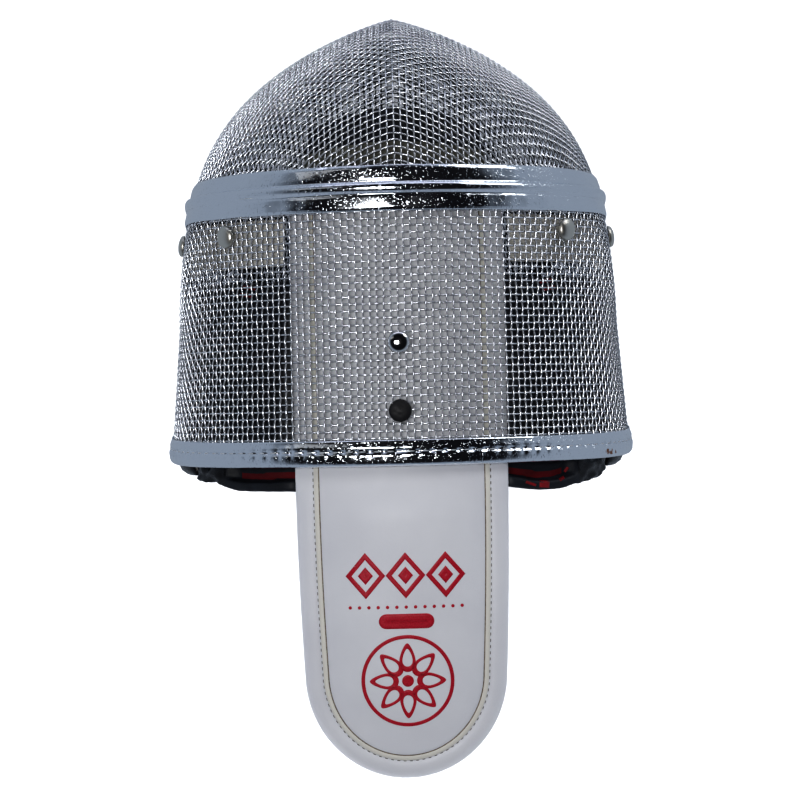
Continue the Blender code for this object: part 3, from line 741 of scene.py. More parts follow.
webbing = new_material("grey_webbing", (0.68, 0.66, 0.62), 0.85)
at_webbing = ("Vector", node(webbing, "TexCoord").outputs["Object"])
ribs = node(webbing, "TexWave", at_webbing, Scale=RIBS, Distortion=0.4, bands_direction="Y")
link(webbing, bump(webbing, ribs.outputs["Fac"], 0.0003, 0.8), "Normal")
vary(webbing, "Base Color", (0.58, 0.56, 0.52), (0.76, 0.74, 0.70), 300, 4)
share = np.linspace(0, 1, 11)
web_edge = np.sqrt(np.clip(1 - (1 - np.minimum(share, 1 - share) * 14).clip(0) ** 2, 0, 1))
web_share = np.concatenate([share, share[::-1]])
web_depth = STRAP_SINK + STRAP / 2 * np.concatenate([1 - web_edge, (1 + web_edge)[::-1]])
for side, hand in HANDS:
    along = STRAP_ALONG[0] + web_share * (STRAP_ALONG[1] - STRAP_ALONG[0])
    degrees = np.linspace(*STRAP_DEGREES, STRAP_STATIONS)[:, None]
    run = sink(crown_point(along[None, :], degrees), web_depth[None, :])
    strap = swept(f"webbing_{hand}", run * (side, 1, 1), webbing)
    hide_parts(f"liner_strap_{hand}")


# The tongue. A padded leaf of white leather cloth, stiffened by a spring strip, that lies under
# the crown and grips the back of the head. Its border is a soft welt, sewn down with one line
# of thread, and a narrow cream fold runs beside the stitches.

TONGUE_FRONT, TONGUE_END, TONGUE_ROUND = 113.0, -139.0, 47.0
TONGUE_HALF_WIDTH, TONGUE_END_HALF_WIDTH = 47.0, 44.8
TONGUE_CURL, TONGUE_FLATTEN = 20.0, 0.45
PUFF_START, PUFF_LENGTH = 3.0, 22.0
TONGUE_STEP = 2.0
WELT = (  # in from the border, the rise of the leather over the strip
    (0.0, -1.9),
    (0.4, -0.9),
    (1.0, -0.25),
    (2.0, 0.35),
    (3.5, 0.75),
    (5.5, 0.7),
    (7.0, 0.25),
    (7.6, -0.15),
    (7.9, -0.45),
    (8.2, -0.15),
    (8.8, 0.15),
    (9.8, 0.15),
    (10.2, 0.0),
    (10.4, -0.35),
    (10.7, 0.05),
    (12.0, 0.35),
    (16.0, 0.8),
    (25.0, 1.2),
    (36.0, 1.4),
    (99.0, 1.5),
)
BACKING = ((0.0, 3.0), (0.8, 4.3), (3.0, 5.2), (8.0, 5.9), (18.0, 6.3), (99.0, 6.5))  # in, depth
FLAT_TOP, FLAT_BACKING = (0.35, 0.2), (0.75, 3.0)  # under the crown: share of it, at most
CREAM_FOLD, CREASE = (8.2, 10.2), 10.6  # in from the border: from and to, and the crease's end
SOFT_FROM_CREASE = 14.0


def tongue_half_width(along):
    taper = np.clip(-along / (-TONGUE_END - TONGUE_ROUND), 0, 1)
    wide = TONGUE_HALF_WIDTH + (TONGUE_END_HALF_WIDTH - TONGUE_HALF_WIDTH) * taper**2
    into_round = np.clip((TONGUE_END + TONGUE_ROUND - along) / TONGUE_ROUND, 0, 1)
    return wide * np.sqrt(1 - into_round**2)


def tongue_top(across, along):
    """Where the strip's upper face lies, down from the crown."""
    behind = np.clip(along / TONGUE_END, 0, 1)
    drop = EAR_DOWN * (1 - np.sqrt(1 - (across / widest(along)) ** 2))
    curled = TONGUE_SINK + TONGUE_CURL * behind**1.5
    return curled + drop * (1 - (1 - TONGUE_FLATTEN) * step(behind))


def puffed(along):
    """0 where the leaf lies flat under the crown, and 1 where its padding is full."""
    return step(-(along + PUFF_START) / PUFF_LENGTH)


straight = np.arange(TONGUE_FRONT, TONGUE_END + TONGUE_ROUND, -TONGUE_STEP)
turn = np.linspace(0, math.pi / 2, 36)
edge_along = np.concatenate([straight, TONGUE_END + TONGUE_ROUND * (1 - np.sin(turn))])
edge_across = np.concatenate([tongue_half_width(straight), TONGUE_END_HALF_WIDTH * np.cos(turn)])
edge = np.stack([edge_across, edge_along], axis=1)
edge = np.concatenate([edge, edge[-2::-1] * (-1, 1)])
spine = np.stack([0 * edge[:, 1], np.maximum(edge[:, 1], TONGUE_END + TONGUE_ROUND)], axis=1)
welt_in, welt_rise = np.array(WELT).T
backing_in, backing_depth = np.array(BACKING).T
reach = np.linalg.norm(spine - edge, axis=1, keepdims=True)
inward = (spine - edge) / reach


def tongue_layer(distances, heights, flat_heights):
    """Rows of the leaf from its border in to its spine, at heights over the strip."""
    far = np.minimum(distances[None, :], reach)
    far[:, -1:] = reach
    flat = edge[:, None, :] + inward[:, None, :] * far[..., None]
    across, along = flat[..., 0], flat[..., 1]
    height = flat_heights + (heights - flat_heights) * puffed(along)
    return np.stack([across, along, tongue_top(across, along) - height], axis=-1)


def grid_faces(rows, columns):
    """The faces between the points of a grid."""
    r, c = np.meshgrid(np.arange(rows - 1), np.arange(columns - 1), indexing="ij")
    at = r * columns + c
    return np.stack([at, at + 1, at + columns + 1, at + columns], axis=-1).reshape(-1, 4)


top = tongue_layer(welt_in, welt_rise, np.minimum(welt_rise * FLAT_TOP[0], FLAT_TOP[1]))
flat = np.minimum(backing_depth * FLAT_BACKING[0], FLAT_BACKING[1])
under = tongue_layer(backing_in, -backing_depth, -flat)
layers = np.concatenate([top[:, ::-1], under], axis=1)
rows, columns = layers.shape[:2]
front, back = list(range(columns)), [(rows - 1) * columns + k for k in range(columns)]
faces = grid_faces(rows, columns).tolist()
faces += [list(four) for four in zip(front, front[1:], back[1:], back)]

AIR, PUMPED = 4.0, 20  # the cloth's inner pressure, and how many frames it is blown up for
MERGE = 0.02 * MM  # points that lie nearer than this are one


def blown(piece, grid, most):
    """How far each point of a padded piece moves when it is blown up as cloth on a grid."""
    moved = np.zeros((len(piece.data.vertices), 3))
    scene = bpy.context.scene
    loose = set_out("loose", piece.data.copy())
    even = loose.modifiers.new("even", "REMESH")
    even.mode = "VOXEL"
    even.voxel_size = grid * MM
    remeshed = loose.evaluated_get(bpy.context.evaluated_depsgraph_get())
    loose.data = bpy.data.meshes.new_from_object(remeshed)
    loose.modifiers.clear()
    air = loose.modifiers.new("air", "CLOTH")
    air.settings.use_pressure = True
    air.settings.uniform_pressure_force = AIR
    air.settings.effector_weights.gravity = 0.0
    air.point_cache.frame_end = PUMPED
    for frame_number in range(1, PUMPED + 1):
        scene.frame_set(frame_number)
    full = loose.evaluated_get(bpy.context.evaluated_depsgraph_get()).data
    near = KDTree(len(full.vertices))
    moves = []
    for old, new in zip(loose.data.vertices, full.vertices):
        near.insert(old.co, old.index)
        moves.append((new.co - old.co) / MM)
    near.balance()
    for vertex in piece.data.vertices:
        found = near.find_n(vertex.co, 8)
        weights = np.array([1 / (far / MM + 0.5) for _, _, far in found])
        move = weights @ np.array([moves[index] for _, index, _ in found]) / weights.sum()
        moved[vertex.index] = move * min(1.0, most / max(np.linalg.norm(move), 1e-9))
    scene.frame_set(1)
    bpy.data.objects.remove(loose)
    return moved


def swell(piece, grid, most, share=1.0):
    """Let a padded piece keep the shape that it is blown up to, by each point's share."""
    moved = np.array([vertex.co for vertex in piece.data.vertices])
    moved += blown(piece, grid, most) * np.reshape(share, (-1, 1)) * MM
    piece.data.vertices.foreach_set("co", moved.ravel())
    piece.data.update()


leather = new_material("white_leather", (0.72, 0.73, 0.77), 0.5)
grain = bump(leather, cloud(leather, 900, 4), 0.00012, 0.5)
grained(leather, 60, 3, 0.0006, 0.35, grain)
vary(leather, "Base Color", (0.695, 0.70, 0.745), (0.745, 0.75, 0.79), 25, 5)
vary(leather, "Roughness", 0.46, 0.58, 200, 4)
cream = new_material("cream_fold", (0.74, 0.72, 0.67), 0.55)
grained(cream, 900, 4, 0.0001, 0.5)
# Painted shade: a thin brown colour laid in the crease beside the cream fold, where its shadow falls.
crease = new_material("brown_crease", (0.20, 0.16, 0.12), 0.6)
vary(crease, "Base Color", (0.13, 0.10, 0.08), (0.30, 0.25, 0.2), 700, 3)

tongue = body("tongue_leaf", layers.reshape(-1, 3), faces, leather)
tongue.data.materials.append(cream)
tongue.data.materials.append(crease)
# Faces from the cream fold's end to CREASE take the brown painted shade of the crease.
from_border = (welt_in[:0:-1] + welt_in[-2::-1]) / 2
bounds = [from_border > CREASE, from_border > CREAM_FOLD[1], from_border > CREAM_FOLD[0]]
strips = np.select(bounds, [0, 2, 1])
finish = np.zeros((rows, columns - 1), int)
finish[:-1, : len(strips)] = strips
tongue.data.polygons.foreach_set("material_index", finish.ravel())
depth_in = np.minimum(np.r_[welt_in[::-1], backing_in][None, :], reach)
soft = step((depth_in - CREASE) / SOFT_FROM_CREASE) * puffed(layers[..., 1])
swell(tongue, grid=4.5, most=2.5, share=soft)
turn_out(tongue, MERGE)
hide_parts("tongue")

SEWN_IN, TONGUE_STITCH, TONGUE_THREAD = 7.9, 2.8, 0.2  # in from the border, apart, radius
OVERHEAD = 80.0  # above the crown, from where the stitches and the print are laid down


def laid_on(piece, flat, proud):
    """Points over a piece, given across and along, so far proud of what shows of it from above."""
    faces = [tuple(face.vertices) for face in piece.data.polygons]
    under = BVHTree.FromPolygons([vertex.co for vertex in piece.data.vertices], faces)
    start = np.concatenate([flat, np.full(flat.shape[:-1] + (1,), -OVERHEAD)], axis=-1)
    straight_down = Vector(place((0.0, 0.0, 1.0)) - place((0.0, 0.0, 0.0))).normalized()
    met = [under.ray_cast(Vector(p), straight_down)[3] for p in place(start).reshape(-1, 3)]
    start[..., 2] += np.reshape(met, flat.shape[:-1]) / MM - proud
    return start


def dashes(line, apart, share):
    """Runs of five points along a line, so far apart, each over its share of the way."""
    length = lengths(line)
    starts = np.arange(0.5, length[-1] - apart, apart)
    wanted = starts[:, None] + np.linspace(0, share * apart, 5)
    return at_lengths(line, wanted.ravel()).reshape(len(starts), 5, 3)


# Painted shade: the tongue's stitches are coloured near-black, standing in for the shadowed needle
# slits the thread sinks into.
stitch_painted_slit_shade = new_material("stitch_painted_slit_shade", (0.10, 0.09, 0.08), 0.6)
vary(stitch_painted_slit_shade, "Base Color", (0.05, 0.045, 0.04), (0.2, 0.18, 0.16), 900, 2)
sewn = edge[:, 1] < TONGUE_FRONT - 1.0
sewn_line = laid_on(tongue, (edge + inward * SEWN_IN)[sewn], 0.1)
runs = dashes(sewn_line, TONGUE_STITCH, share=0.62)
runs[:, (0, -1), 2] += 0.45
thread = thread_tubes("tongue_stitches", runs, TONGUE_THREAD, stitch_painted_slit_shade)


# The print. Plain shapes in red ink on the tongue's leather: a row of nested lozenges, a line of
# dots, a rounded bar, and a rosette of eight petals in a ring. The ink stands just proud.

INK, INK_FOOT = 0.09, 0.12  # proud of the leather, and sunk into it
PRINT_MIDDLE = -0.6  # across
LOZENGES, LOZENGE = (-47.6, 17.6), (8.7, 10.2)  # along and apart, halves
LOZENGE_HOLE, LOZENGE_HEART = 0.7, 0.38  # shares of the lozenge
DOTS, DOT, DOT_ROW = 13, 0.75, (-61.6, 4.1)  # how many, radius, along and apart
BAR, BAR_ALONG = (12.2, 3.3), -67.9  # halves
ROSETTE_ALONG, RING_OUT, RING_IN = -94.5, 20.5, 18.9
PETALS, PETAL_AT, PETAL, PETAL_HOLE = 8, 10.4, (6.4, 3.4), 0.62  # from the eye, halves, share
PETAL_POINT, EYE = 16, 2.6  # the petals narrow outward over this length
SHUT = 0.002  # the share of an outer loop that an inner one keeps where there is no hole


def round_loop(half_long, half_wide, count=32):
    turn = np.arange(count) * 2 * math.pi / count
    return np.stack([half_long * np.cos(turn), half_wide * np.sin(turn)], axis=1)


def lozenge_loop(half_across, half_along):
    corners = np.array(((half_across, 0), (0, half_along), (-half_across, 0), (0, -half_along)))
    share = np.arange(8)[:, None] / 8
    sides = zip(corners, np.roll(corners, -1, axis=0))
    return np.concatenate([a + (b - a) * share for a, b in sides])


def inked(name, piece, bands, material):
    """Thin closed patches on a piece, each between an outer loop and an inner one."""
    points, faces, count = [], [], 0
    for outer, inner in bands:
        share = np.array((0.0, 0.34, 0.67, 1.0))[:, None]
        flat = outer[:, None] + (inner - outer)[:, None] * share
        top = laid_on(piece, flat, INK)
        section = np.concatenate([top, laid_on(piece, flat, -INK_FOOT)[:, ::-1]], axis=1)
        faces += (hoops(*section.shape[:2], ring=True) + count).tolist()
        points.append(section.reshape(-1, 3))
        count += len(points[-1])
    print_on = body(name, np.concatenate(points), faces, material)
    turn_out(print_on, MERGE)
    return print_on


red_ink = new_material("red_ink", (0.47, 0.010, 0.03), 0.45)
vary(red_ink, "Base Color", (0.41, 0.008, 0.026), (0.53, 0.017, 0.045), 1500, 3)
grained(red_ink, 2600, 3, 0.00006, 0.6)
bands = []
for k in (-1, 0, 1):
    spot = np.array((PRINT_MIDDLE + k * LOZENGES[1], LOZENGES[0]))
    whole = lozenge_loop(*LOZENGE)
    bands.append((spot + whole, spot + whole * LOZENGE_HOLE))
    bands.append((spot + whole * LOZENGE_HEART, spot + whole * SHUT))
for k in range(DOTS):
    spot = np.array((PRINT_MIDDLE + (k - DOTS // 2) * DOT_ROW[1], DOT_ROW[0]))
    bands.append((spot + round_loop(DOT, DOT, 12), spot + round_loop(SHUT, SHUT, 12)))
turn = np.linspace(-math.pi / 2, math.pi / 2, 12)
cap = np.stack([np.cos(turn), np.sin(turn)], axis=1) * BAR[1]
to_cap = np.array((BAR[0] - BAR[1], 0))
bar = np.concatenate([cap + to_cap, cap[::-1] * (-1, 1) - to_cap, cap[:1] + to_cap])
bar = at_lengths(bar, np.arange(60) / 60 * lengths(bar)[-1])
spot = np.array((PRINT_MIDDLE, BAR_ALONG))
bands.append((spot + bar, spot + bar * (1 - BAR[1] / BAR[0], SHUT)))
centre = np.array((PRINT_MIDDLE, ROSETTE_ALONG))
ring = round_loop(1.0, 1.0, 96)
bands.append((centre + ring * RING_OUT, centre + ring * RING_IN))
bands.append((centre + round_loop(EYE, EYE), centre + round_loop(SHUT, SHUT)))
for turn in np.arange(PETALS) * 2 * math.pi / PETALS:
    ahead = np.array((math.cos(turn), math.sin(turn)))
    aside = np.array((-math.sin(turn), math.cos(turn)))
    petal = round_loop(*PETAL)
    petal = petal[:, :1] * ahead + petal[:, 1:] * (1 - petal[:, :1] / PETAL_POINT) * aside
    spot = centre + ahead * PETAL_AT
    bands.append((spot + petal, spot + petal * PETAL_HOLE))
ink = inked("tongue_print", tongue, bands, red_ink)


# The pads. Black foam in a smooth black cloth cover, two inside each side of the crown and one
# across the forehead. Behind the rear rim the upper ones end in a soft roll, over a hollow lined
# in dark red, and beside it their cover is glossy leather cloth, pulled into folds.

PAD_SINK, PAD, LEAST_PAD = 4.5, 8.8, 1.5  # under the skin, thickness, least thickness in a dip
PAD_MIDDLE = 0.42  # the share of the thickness at which the border lies
TEMPLE_DEGREES, COVER_DEGREES = (26.5, 66.0), 50.0  # the roll ends at the second
TEMPLE_REAR = (  # degrees round the arch, how far the pad stands out behind the rim, left, right
    (26, 10.6, 9.8),
    (30, 10.5, 11.0),
    (36, 10.5, 12.3),
    (41, 10.3, 12.5),
    (45, 10.1, 11.5),
    (48, 9.3, 10.2),
    (50, 8.5, 10.5),
    (54, 6.6, 9.4),
    (60, 6.2, 8.5),
    (64, 5.8, 5.6),
)
TEMPLE_FRONT, CHEEK_ALONG, CHEEK_DEGREES = 84.0, (-3.5, 82.0), (69.0, 98.0)
ROLL, HOLLOW, HOLLOW_END, HOLLOW_DEPTH = 4.2, 5.4, 11.0, 5.0  # in from the pad's rear end
LINING, LEATHER_CLOTH = (6.2, 9.4), 30.0  # in from the rear end: from and to, and as far as
BULGE = 0.8  # flatter than a full pillow by this
FOLD_SIZE, FOLD_DEPTH, FOLDS_END, FOLDS_FADE = 5.5, 2.2, 8.0, 8.0
MARKS = (  # across and along of a plain red bar's middle, its halves, and its turn
    (66.5, 81.0, 3.2, 0.9, 0.15),
    (67.5, 77.6, 3.2, 0.9, 0.15),
)
ROLL_MARKS = (  # the same, on the right pad's roll
    (63.4, -9.7, 2.3, 1.6, -0.1),
    (57.2, -9.2, 2.5, 0.6, -0.35),
    (71.6, -7.6, 1.3, 0.7, 0.5),
    (74.0, -3.8, 1.3, 0.6, 0.9),
)
BROW_ALONG, BROW_HALF_WIDTH, BROW_SINK, BROW_PAD = (134.0, 163.0), 50.0, 4.3, 7.0
BROW_TAPE = 144.0  # the forehead pad's rear border is grey tape as far forward as this


def from_ends(steps):
    """How many steps each one is from the nearer end."""
    return np.minimum(np.arange(steps), np.arange(steps)[::-1])


def rounded(near, full):
    """0 at the border, and 1 from so many steps in."""
    return np.sqrt(1 - (1 - np.clip(near / full, 0, 1)) ** 2)


def both_sides(rows, columns):
    """The faces of two grids of points, one behind the other, and those that join their borders."""
    count = rows * columns
    faces = grid_faces(rows, columns)
    border = list(range(columns)) + [k * columns + columns - 1 for k in range(1, rows)]
    border += [(rows - 1) * columns + k for k in range(columns - 2, -1, -1)]
    border += [k * columns for k in range(rows - 2, 0, -1)]
    joins = [[b, a, a + count, b + count] for a, b in zip(border, border[1:] + border[:1])]
    return faces.tolist() + (faces[:, ::-1] + count).tolist(), joins


def pillow(name, points, sunk, thick, materials, finish=0, dip=0.0, side=1):
    """A closed pad under a grid of points, rounded off to its borders."""
    rows, columns = points.shape[:2]
    form = rounded(from_ends(rows), 4)[:, None] * rounded(from_ends(columns), 4)[None, :]
    middle = sunk + thick * PAD_MIDDLE
    upper = middle - (middle - sunk) * form + dip * form
    lower = middle + np.maximum((sunk + thick - middle) * form, dip * form + LEAST_PAD)
    both = np.stack([sink(points, upper), sink(points, lower)]).reshape(-1, 3) * (side, 1, 1)
    faces, joins = both_sides(rows, columns)
    piece = body(name, both, faces + joins, materials[0])
    for material in materials[1:]:
        piece.data.materials.append(material)
    finish = np.broadcast_to(finish, (2, rows - 1, columns - 1)).ravel()
    piece.data.polygons.foreach_set("material_index", np.r_[finish, np.zeros(len(joins), int)])
    swell(piece, grid=4.0, most=1.5)
    turn_out(piece, MERGE)
    return piece


def covering(name, colour, low, high, depth):
    """A cloth or ink, its roughness from low to high and its weave so many metres deep."""
    made = new_material(name, colour, low)
    vary(made, "Roughness", low, high, 250, 4)
    grained(made, 1400, 3, depth, 0.6)
    tones = [tuple(channel * share for channel in colour) for share in (0.7, 1.35)]
    vary(made, "Base Color", *tones, 60, 4)
    return made


black_cover = covering("black_cover", (0.012, 0.014, 0.020), 0.5, 0.62, 0.0002)
leather_cloth = covering("black_leather_cloth", (0.010, 0.010, 0.012), 0.22, 0.38, 0.0001)
red_lining = covering("red_lining", (0.12, 0.003, 0.007), 0.6, 0.75, 0.0002)
dark_red = covering("dark_red_ink", (0.21, 0.004, 0.010), 0.5, 0.65, 0.0001)
brow_tape = covering("grey_brow_tape", (0.13, 0.13, 0.11), 0.7, 0.85, 0.0004)


def mark_loop(across, along, long, wide, lean):
    """The outline of a bar, turned by so much."""
    bar = lozenge_loop(1.0, 1.0)
    bar = np.stack([bar[:, 0] + bar[:, 1], bar[:, 1] - bar[:, 0]], axis=1) * (long, wide)
    turn = np.array(((math.cos(lean), math.sin(lean)), (-math.sin(lean), math.cos(lean))))
    return bar @ turn + (across, along)


cheek_along, cheek_degrees = np.linspace(*CHEEK_ALONG, 41), np.linspace(*CHEEK_DEGREES, 25)
cheek_grid = crown_point(cheek_along[None, :], cheek_degrees[:, None])
degrees = np.linspace(*TEMPLE_DEGREES, 46)[:, None]
rear_degrees, rear_left, rear_right = np.array(TEMPLE_REAR).T
on_roll = 1 - step((degrees - COVER_DEGREES + 4) / 4)
beside_roll = step((degrees - COVER_DEGREES) / 2)
for side, hand, rear in ((1, "left", rear_left), (-1, "right", rear_right)):
    out_behind = np.interp(degrees, rear_degrees, rear)
    inward_run = (TEMPLE_FRONT + out_behind) * np.linspace(0, 1, 61) ** 1.5
    temple_grid = crown_point(inward_run - out_behind, degrees)
    hollow = step((inward_run - ROLL) / (HOLLOW - ROLL)) * (1 - step((inward_run - HOLLOW_END) / 4))
    folds = dents(temple_grid * (0.8, 1.6, 0.8 * side), FOLD_SIZE, FOLD_DEPTH)
    folds *= beside_roll * (1 - step((inward_run - FOLDS_END) / FOLDS_FADE))
    dip = BULGE + on_roll * HOLLOW_DEPTH * hollow + folds
    finish = np.zeros((45, 60), int)
    face_run, face_degrees = inward_run[1:, 1:], degrees[1:]
    finish[(face_degrees > COVER_DEGREES) & (face_run < LEATHER_CLOTH)] = 1
    lined = (face_run > LINING[0]) & (face_run < LINING[1])
    finish[(face_degrees < COVER_DEGREES - 4) & lined] = 2
    covers = [black_cover, leather_cloth, red_lining]
    name = f"temple_cushion_{hand}"
    temple = pillow(name, temple_grid, PAD_SINK, PAD, covers, finish, dip, side)
    name = f"cheek_cushion_{hand}"
    cheek = pillow(name, cheek_grid, PAD_SINK, PAD, [leather_cloth], side=side)
    bands = []
    for mark in MARKS + (ROLL_MARKS if side < 0 else ()):
        bar = mark_loop(*mark) * (side, 1)
        bands.append((bar, bar.mean(axis=0) + (bar - bar.mean(axis=0)) * SHUT))
    marks = inked(f"temple_marks_{hand}", temple, bands, dark_red)
    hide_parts(f"temple_pad_{hand}")
    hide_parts(f"cheek_pad_{hand}")
across = np.linspace(-BROW_HALF_WIDTH, BROW_HALF_WIDTH, 51)[None, :]
along = np.linspace(*BROW_ALONG, 19)[:, None]
brow = outline[(outline[:, 0] > EAR_ALONG) & (outline[:, 1] < EAR_DOWN)]
brow_grid = settle(np.stack(np.broadcast_arrays(across, along, np.interp(along, *brow.T)), axis=-1))
taped = (along[1:] < BROW_TAPE).astype(int)
covers = [black_cover, brow_tape]
forehead = pillow("forehead_cushion", brow_grid, BROW_SINK, BROW_PAD, covers, taped)
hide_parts("forehead_pad")


# The bib. Two layers of white leather cloth over padding, tucked up inside the rim from ear to
# ear and sewn to it, and falling round the throat to a bound edge that stands level.

BIB, BIB_EDGE, BIB_SINK, BIB_TUCK = 7.0, 2.0, 8.0, 8.0  # thickness, under the skin, up inside
BIB_REAR, BIB_FRONT, BIB_HALF_WIDTH = 94.0, 210.0, 86.0  # of the foot, forward of the rear rim
BIB_STATIONS, BIB_RINGS, BIB_START, BIB_LEAVE = 60, 36, 0.47, 0.32
BIB_HEM_START, BIB_HEM = 0.93, 0.955  # shares of the way down; the binding starts at the second
BIB_END = 4  # stations in from each end that the binding covers
TUCK_RINGS, HEM_RINGS = (1.0, 0.66, 0.33), 9  # shares of the tuck, and how many down the hem
BINDING, BINDING_PINCH = 0.35, (0.016, 1.4)  # thickness, width of the dip beside it: down, across
SOFT_FROM, SOFT_OVER, SOFT_TO_HEM, SOFT_TO_END = 0.08, 0.2, 0.12, 5  # where the bib is full
BIB_STITCH, BIB_THREAD, BIB_SEWN = 3.2, 0.25, 0.012  # apart, radius, share below the binding's edge


def standing(across, forward, up):
    """A point across, along and down, from one level and plumb, measured from the rear rim."""
    along = forward * math.cos(CROWN_SLOPE) + up * math.sin(CROWN_SLOPE)
    down = forward * math.sin(CROWN_SLOPE) - up * math.cos(CROWN_SLOPE)
    return np.stack(np.broadcast_arrays(across, along, down), axis=-1)


half = skin(at_lengths(rim, np.linspace(BIB_START, 1, BIB_STATIONS + 1) * half_run, rim_skin))
bib_stations = np.concatenate([half[:-1] * (-1, 1, 1), half[::-1]])
tuck = across_run(bib_stations)
tuck *= np.sign(tuck[BIB_STATIONS, 1])
turn = np.linspace(-1, 1, 2 * BIB_STATIONS + 1) * math.pi / 2
foot_forward = BIB_REAR + (BIB_FRONT - BIB_REAR) * np.cos(turn)
foot = standing(BIB_HALF_WIDTH * np.sin(turn), foot_forward, -RIM_HEIGHT)
start = sink(bib_stations, BIB_SINK)
plumb = standing(0.0, 0.0, -1.0)
height = np.linalg.norm(foot - start, axis=1, keepdims=True)
tucked = [sink(settle(bib_stations + tuck * BIB_TUCK * share), BIB_SINK) for share in TUCK_RINGS]
bib_share = np.linspace(0, BIB_HEM_START, BIB_RINGS)[:-1]
bib_share = np.r_[bib_share, np.linspace(BIB_HEM_START, 1, HEM_RINGS)]
hung = [bend(u, start, -tuck * BIB_LEAVE * height, foot, plumb * height) for u in bib_share]
middle = np.stack(tucked + hung)
thick = np.cross(np.gradient(middle, axis=1), np.gradient(middle, axis=0))
thick[-1] -= (thick[-1] @ plumb)[:, None] * plumb
thick = unit(thick)
rows, columns = middle.shape[:2]
from_end = from_ends(columns)[None, :]
form = rounded(np.minimum(from_ends(rows)[:, None], from_end), 3)[..., None]
down_share = np.r_[[0] * len(tucked), bib_share][:, None]
bound = (down_share > BIB_HEM) | (from_end < BIB_END)
pinched = np.exp(-(((down_share - BIB_HEM) / BINDING_PINCH[0]) ** 2))
pinched = np.maximum(pinched, np.exp(-(((from_end - BIB_END) / BINDING_PINCH[1]) ** 2)))
pinched = pinched[..., None]
half_thick = BIB_EDGE / 2 + (BIB - BIB_EDGE) / 2 * form * (1 - 0.5 * pinched)
half_thick = half_thick + BINDING * bound[..., None]
outer, inner = middle + thick * half_thick, middle - thick * half_thick
faces, joins = both_sides(rows, columns)
bib = body("bib_padding", np.stack([outer, inner]).reshape(-1, 3), faces + joins, leather)
bib.data.materials.append(covering("white_binding", (0.50, 0.51, 0.53), 0.7, 0.85, 0.0003))
taped = (bound[1:, 1:] & bound[1:, :-1] & bound[:-1, 1:] & bound[:-1, :-1]).ravel()
finish = np.r_[taped, taped, np.ones(len(joins), bool)].astype(int)
bib.data.polygons.foreach_set("material_index", finish)
soft = step((down_share - SOFT_FROM) / SOFT_OVER) * step((BIB_HEM - down_share) / SOFT_TO_HEM)
soft = soft * step((from_end - BIB_END) / SOFT_TO_END)
swell(bib, grid=5.0, most=3.0, share=np.tile(soft.ravel(), 2))
turn_out(bib)
sewn_row = len(tucked) + int(np.argmin(abs(bib_share - BIB_HEM - BIB_SEWN)))
upright_rows = range(2 * len(tucked), sewn_row)
sewn = [(k, BIB_END - 1) for k in upright_rows]
sewn += [(sewn_row, k) for k in range(BIB_END - 1, columns - BIB_END + 1)]
sewn += [(k, columns - BIB_END) for k in upright_rows[::-1]]
sewn_line = np.array([outer[at] + thick[at] * 0.15 for at in sewn])
runs = dashes(sewn_line, BIB_STITCH, share=0.66)
thread = thread_tubes("bib_stitches", runs, BIB_THREAD, grey_thread)
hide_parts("bib")


# The floor, the light and the camera, which looks down square at the crown. Two lamps light the
# floor alone, from near the camera, so that the floor seen through the mesh lies in its shadow.

FLOOR = 20  # metres from its middle to each side
floor_mesh = bpy.data.meshes.new("floor")
corners = [(x * FLOOR, y * FLOOR, 0) for x, y in ((-1, -1), (1, -1), (1, 1), (-1, 1))]
floor_mesh.from_pydata(corners, [], [(0, 1, 2, 3)])
floor = set_out("floor", floor_mesh)
pale = new_material("pale_floor", (0.86, 0.87, 0.89), 0.7)
floor_mesh.materials.append(pale)
floor.visible_glossy = False

AIM_ALONG, CAMERA_OVER = 29.2, 1260.0  # the camera looks square at the crown, this far over it
CAMERA_ROLL = math.radians(-1.35)
FOCUS, IMAGE = 2890, 800  # focal length and image width in pixels
CAMERA_AXIS = Vector((0.0, math.sin(CROWN_SLOPE), math.cos(CROWN_SLOPE)))  # out of the crown
TO_THE_FACE = Vector((0.0, -math.cos(CROWN_SLOPE), math.sin(CROWN_SLOPE)))
TO_THE_LEFT = Vector((1.0, 0.0, 0.0))
CROWN_CENTRE = Vector(place((0.0, 60.0, 0.0)))
LAMP_OVER_CAMERA, SUN_LEAN = 60.0, 0.09
WALL_TONES = (  # from the face's side over the horizon to behind the camera
    (0.0, (0.235, 0.265, 0.31)),
    (0.3, (0.215, 0.245, 0.29)),
    (0.6, (0.010, 0.010, 0.012)),
)
BACKDROP = (0.268, 0.278, 0.296)  # as the floor's far end looks

studio = bpy.data.worlds.new("studio")
bpy.context.scene.world = studio
studio.use_nodes = True
all_round = node(studio, "TexCoord").outputs["Generated"]
facing = node(studio, "VectorMath", (0, all_round), operation="DOT_PRODUCT")
facing.inputs[1].default_value = CAMERA_AXIS
walls = node(studio, "ValToRGB", ("Fac", facing.outputs["Value"]))
walls.color_ramp.elements.new(0.5)
for stop, (at, tone) in zip(walls.color_ramp.elements, WALL_TONES):
    stop.position = at
    stop.color = (*tone, 1)
seen = node(studio, "LightPath").outputs["Is Camera Ray"]
walls = walls.outputs["Color"]
backdrop = node(studio, "Mix", ("Factor", seen), ("A", walls), data_type="RGBA")
backdrop.inputs["B"].default_value = (*BACKDROP, 1)
background = studio.node_tree.nodes["Background"]
studio.node_tree.links.new(backdrop.outputs["Result"], background.inputs["Color"])


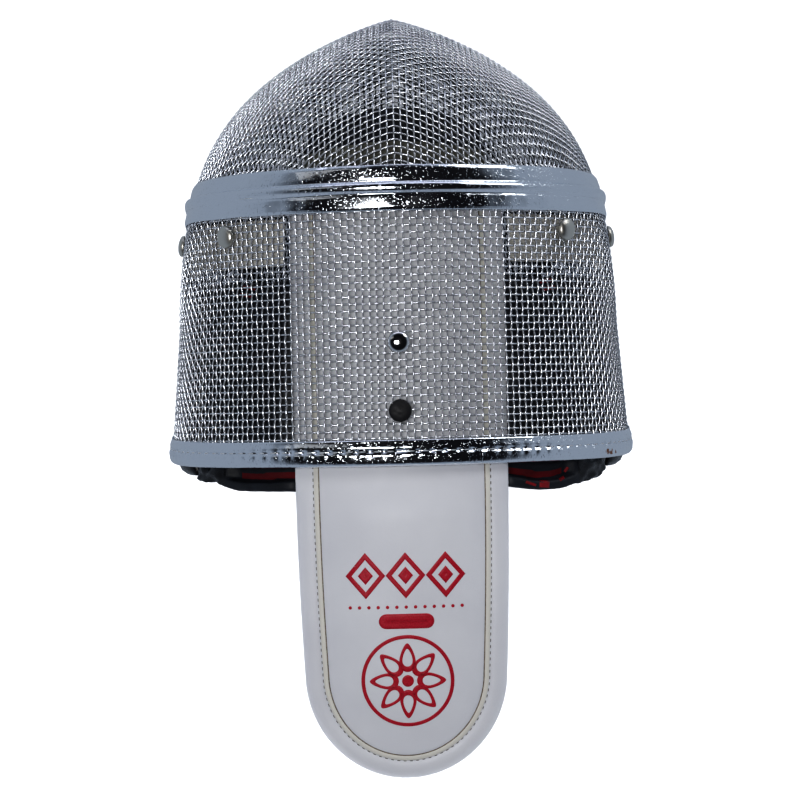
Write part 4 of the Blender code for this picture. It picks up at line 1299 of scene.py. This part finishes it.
def aimed(thing, spot, target, roll=0.0):
    """The thing at a spot, looking at a target, with the face's side up."""
    back = (spot - target).normalized()
    up = Vector((0, -1, 0)) - back * Vector((0, -1, 0)).dot(back)
    right = up.normalized().cross(back)
    turn = Vector(right * math.cos(roll) + up.normalized() * math.sin(roll))
    thing.matrix_world = Matrix(
        (
            (turn.x, back.cross(turn).x, back.x, spot.x),
            (turn.y, back.cross(turn).y, back.y, spot.y),
            (turn.z, back.cross(turn).z, back.z, spot.z),
            (0, 0, 0, 1),
        )
    )


def soft_box(name, lean, turn, far, size, glow, tint=(1, 1, 1)):
    """A soft box: how far it leans from the camera's axis, and which way, from the face's side."""
    lamp = bpy.data.lights.new(name, "AREA")
    lamp.shape = "RECTANGLE"
    lamp.size, lamp.size_y = size
    lamp.energy = glow * math.pi * size[0] * size[1]
    lamp.color = tint
    held = set_out(name, lamp)
    lean, turn = math.radians(lean), math.radians(turn)
    aside = math.cos(turn) * TO_THE_FACE + math.sin(turn) * TO_THE_LEFT
    way = math.cos(lean) * CAMERA_AXIS + math.sin(lean) * aside
    aimed(held, CROWN_CENTRE + far * way, CROWN_CENTRE)
    held.visible_camera = False
    return held


bpy.context.scene.view_settings.view_transform = "Standard"
bpy.context.scene.view_settings.look = "High Contrast"
key_box = soft_box("key_box", 12, 95, 1.1, (0.47, 0.31), 9.3)
for card in (
    soft_box("card_left", 54, 56, 1.6, (0.7, 0.42), 0.26),
    soft_box("card_right", 76, -43, 1.6, (0.7, 0.7), 2.3),
    soft_box("card_front", 78, 0, 1.6, (1.9, 0.33), 0.9, (0.87, 0.84, 1.0)),
):
    card.visible_diffuse = False
fill_box = soft_box("fill_box", 48, -25, 1.3, (0.6, 0.6), 3.6)
fill_box.visible_glossy = False
sunlight = bpy.data.lights.new("floor_light", "SUN")
sunlight.energy = 0.9
sunlight.angle = math.radians(4)
floor_light = set_out("floor_light", sunlight)
aimed(floor_light, CROWN_CENTRE + CAMERA_AXIS - SUN_LEAN * TO_THE_FACE, CROWN_CENTRE)
bulb = bpy.data.lights.new("floor_lamp", "POINT")
bulb.energy = 135.0
bulb.shadow_soft_size = 0.04
floor_lamp = set_out("floor_lamp", bulb)
floor_lamp.location = place((0.0, AIM_ALONG, -CAMERA_OVER - LAMP_OVER_CAMERA))
floor_lamp.visible_camera = False
for lamps, state in (((floor_light, floor_lamp), "INCLUDE"), ((key_box, fill_box), "EXCLUDE")):
    for lamp in lamps:
        lit = bpy.data.collections.new(f"{lamp.name}_floor")
        lit.objects.link(floor)
        lit.collection_objects[0].light_linking.link_state = state
        lamp.light_linking.receiver_collection = lit

lens = bpy.data.cameras.new("camera")
lens.sensor_width = 36.0
lens.lens = lens.sensor_width * FOCUS / IMAGE
camera = set_out("camera", lens)
spot = Vector(place((0.0, AIM_ALONG, -CAMERA_OVER)))
target = Vector(place((0.0, AIM_ALONG, 0.0)))
aimed(camera, spot, target, CAMERA_ROLL)
bpy.context.scene.camera = camera
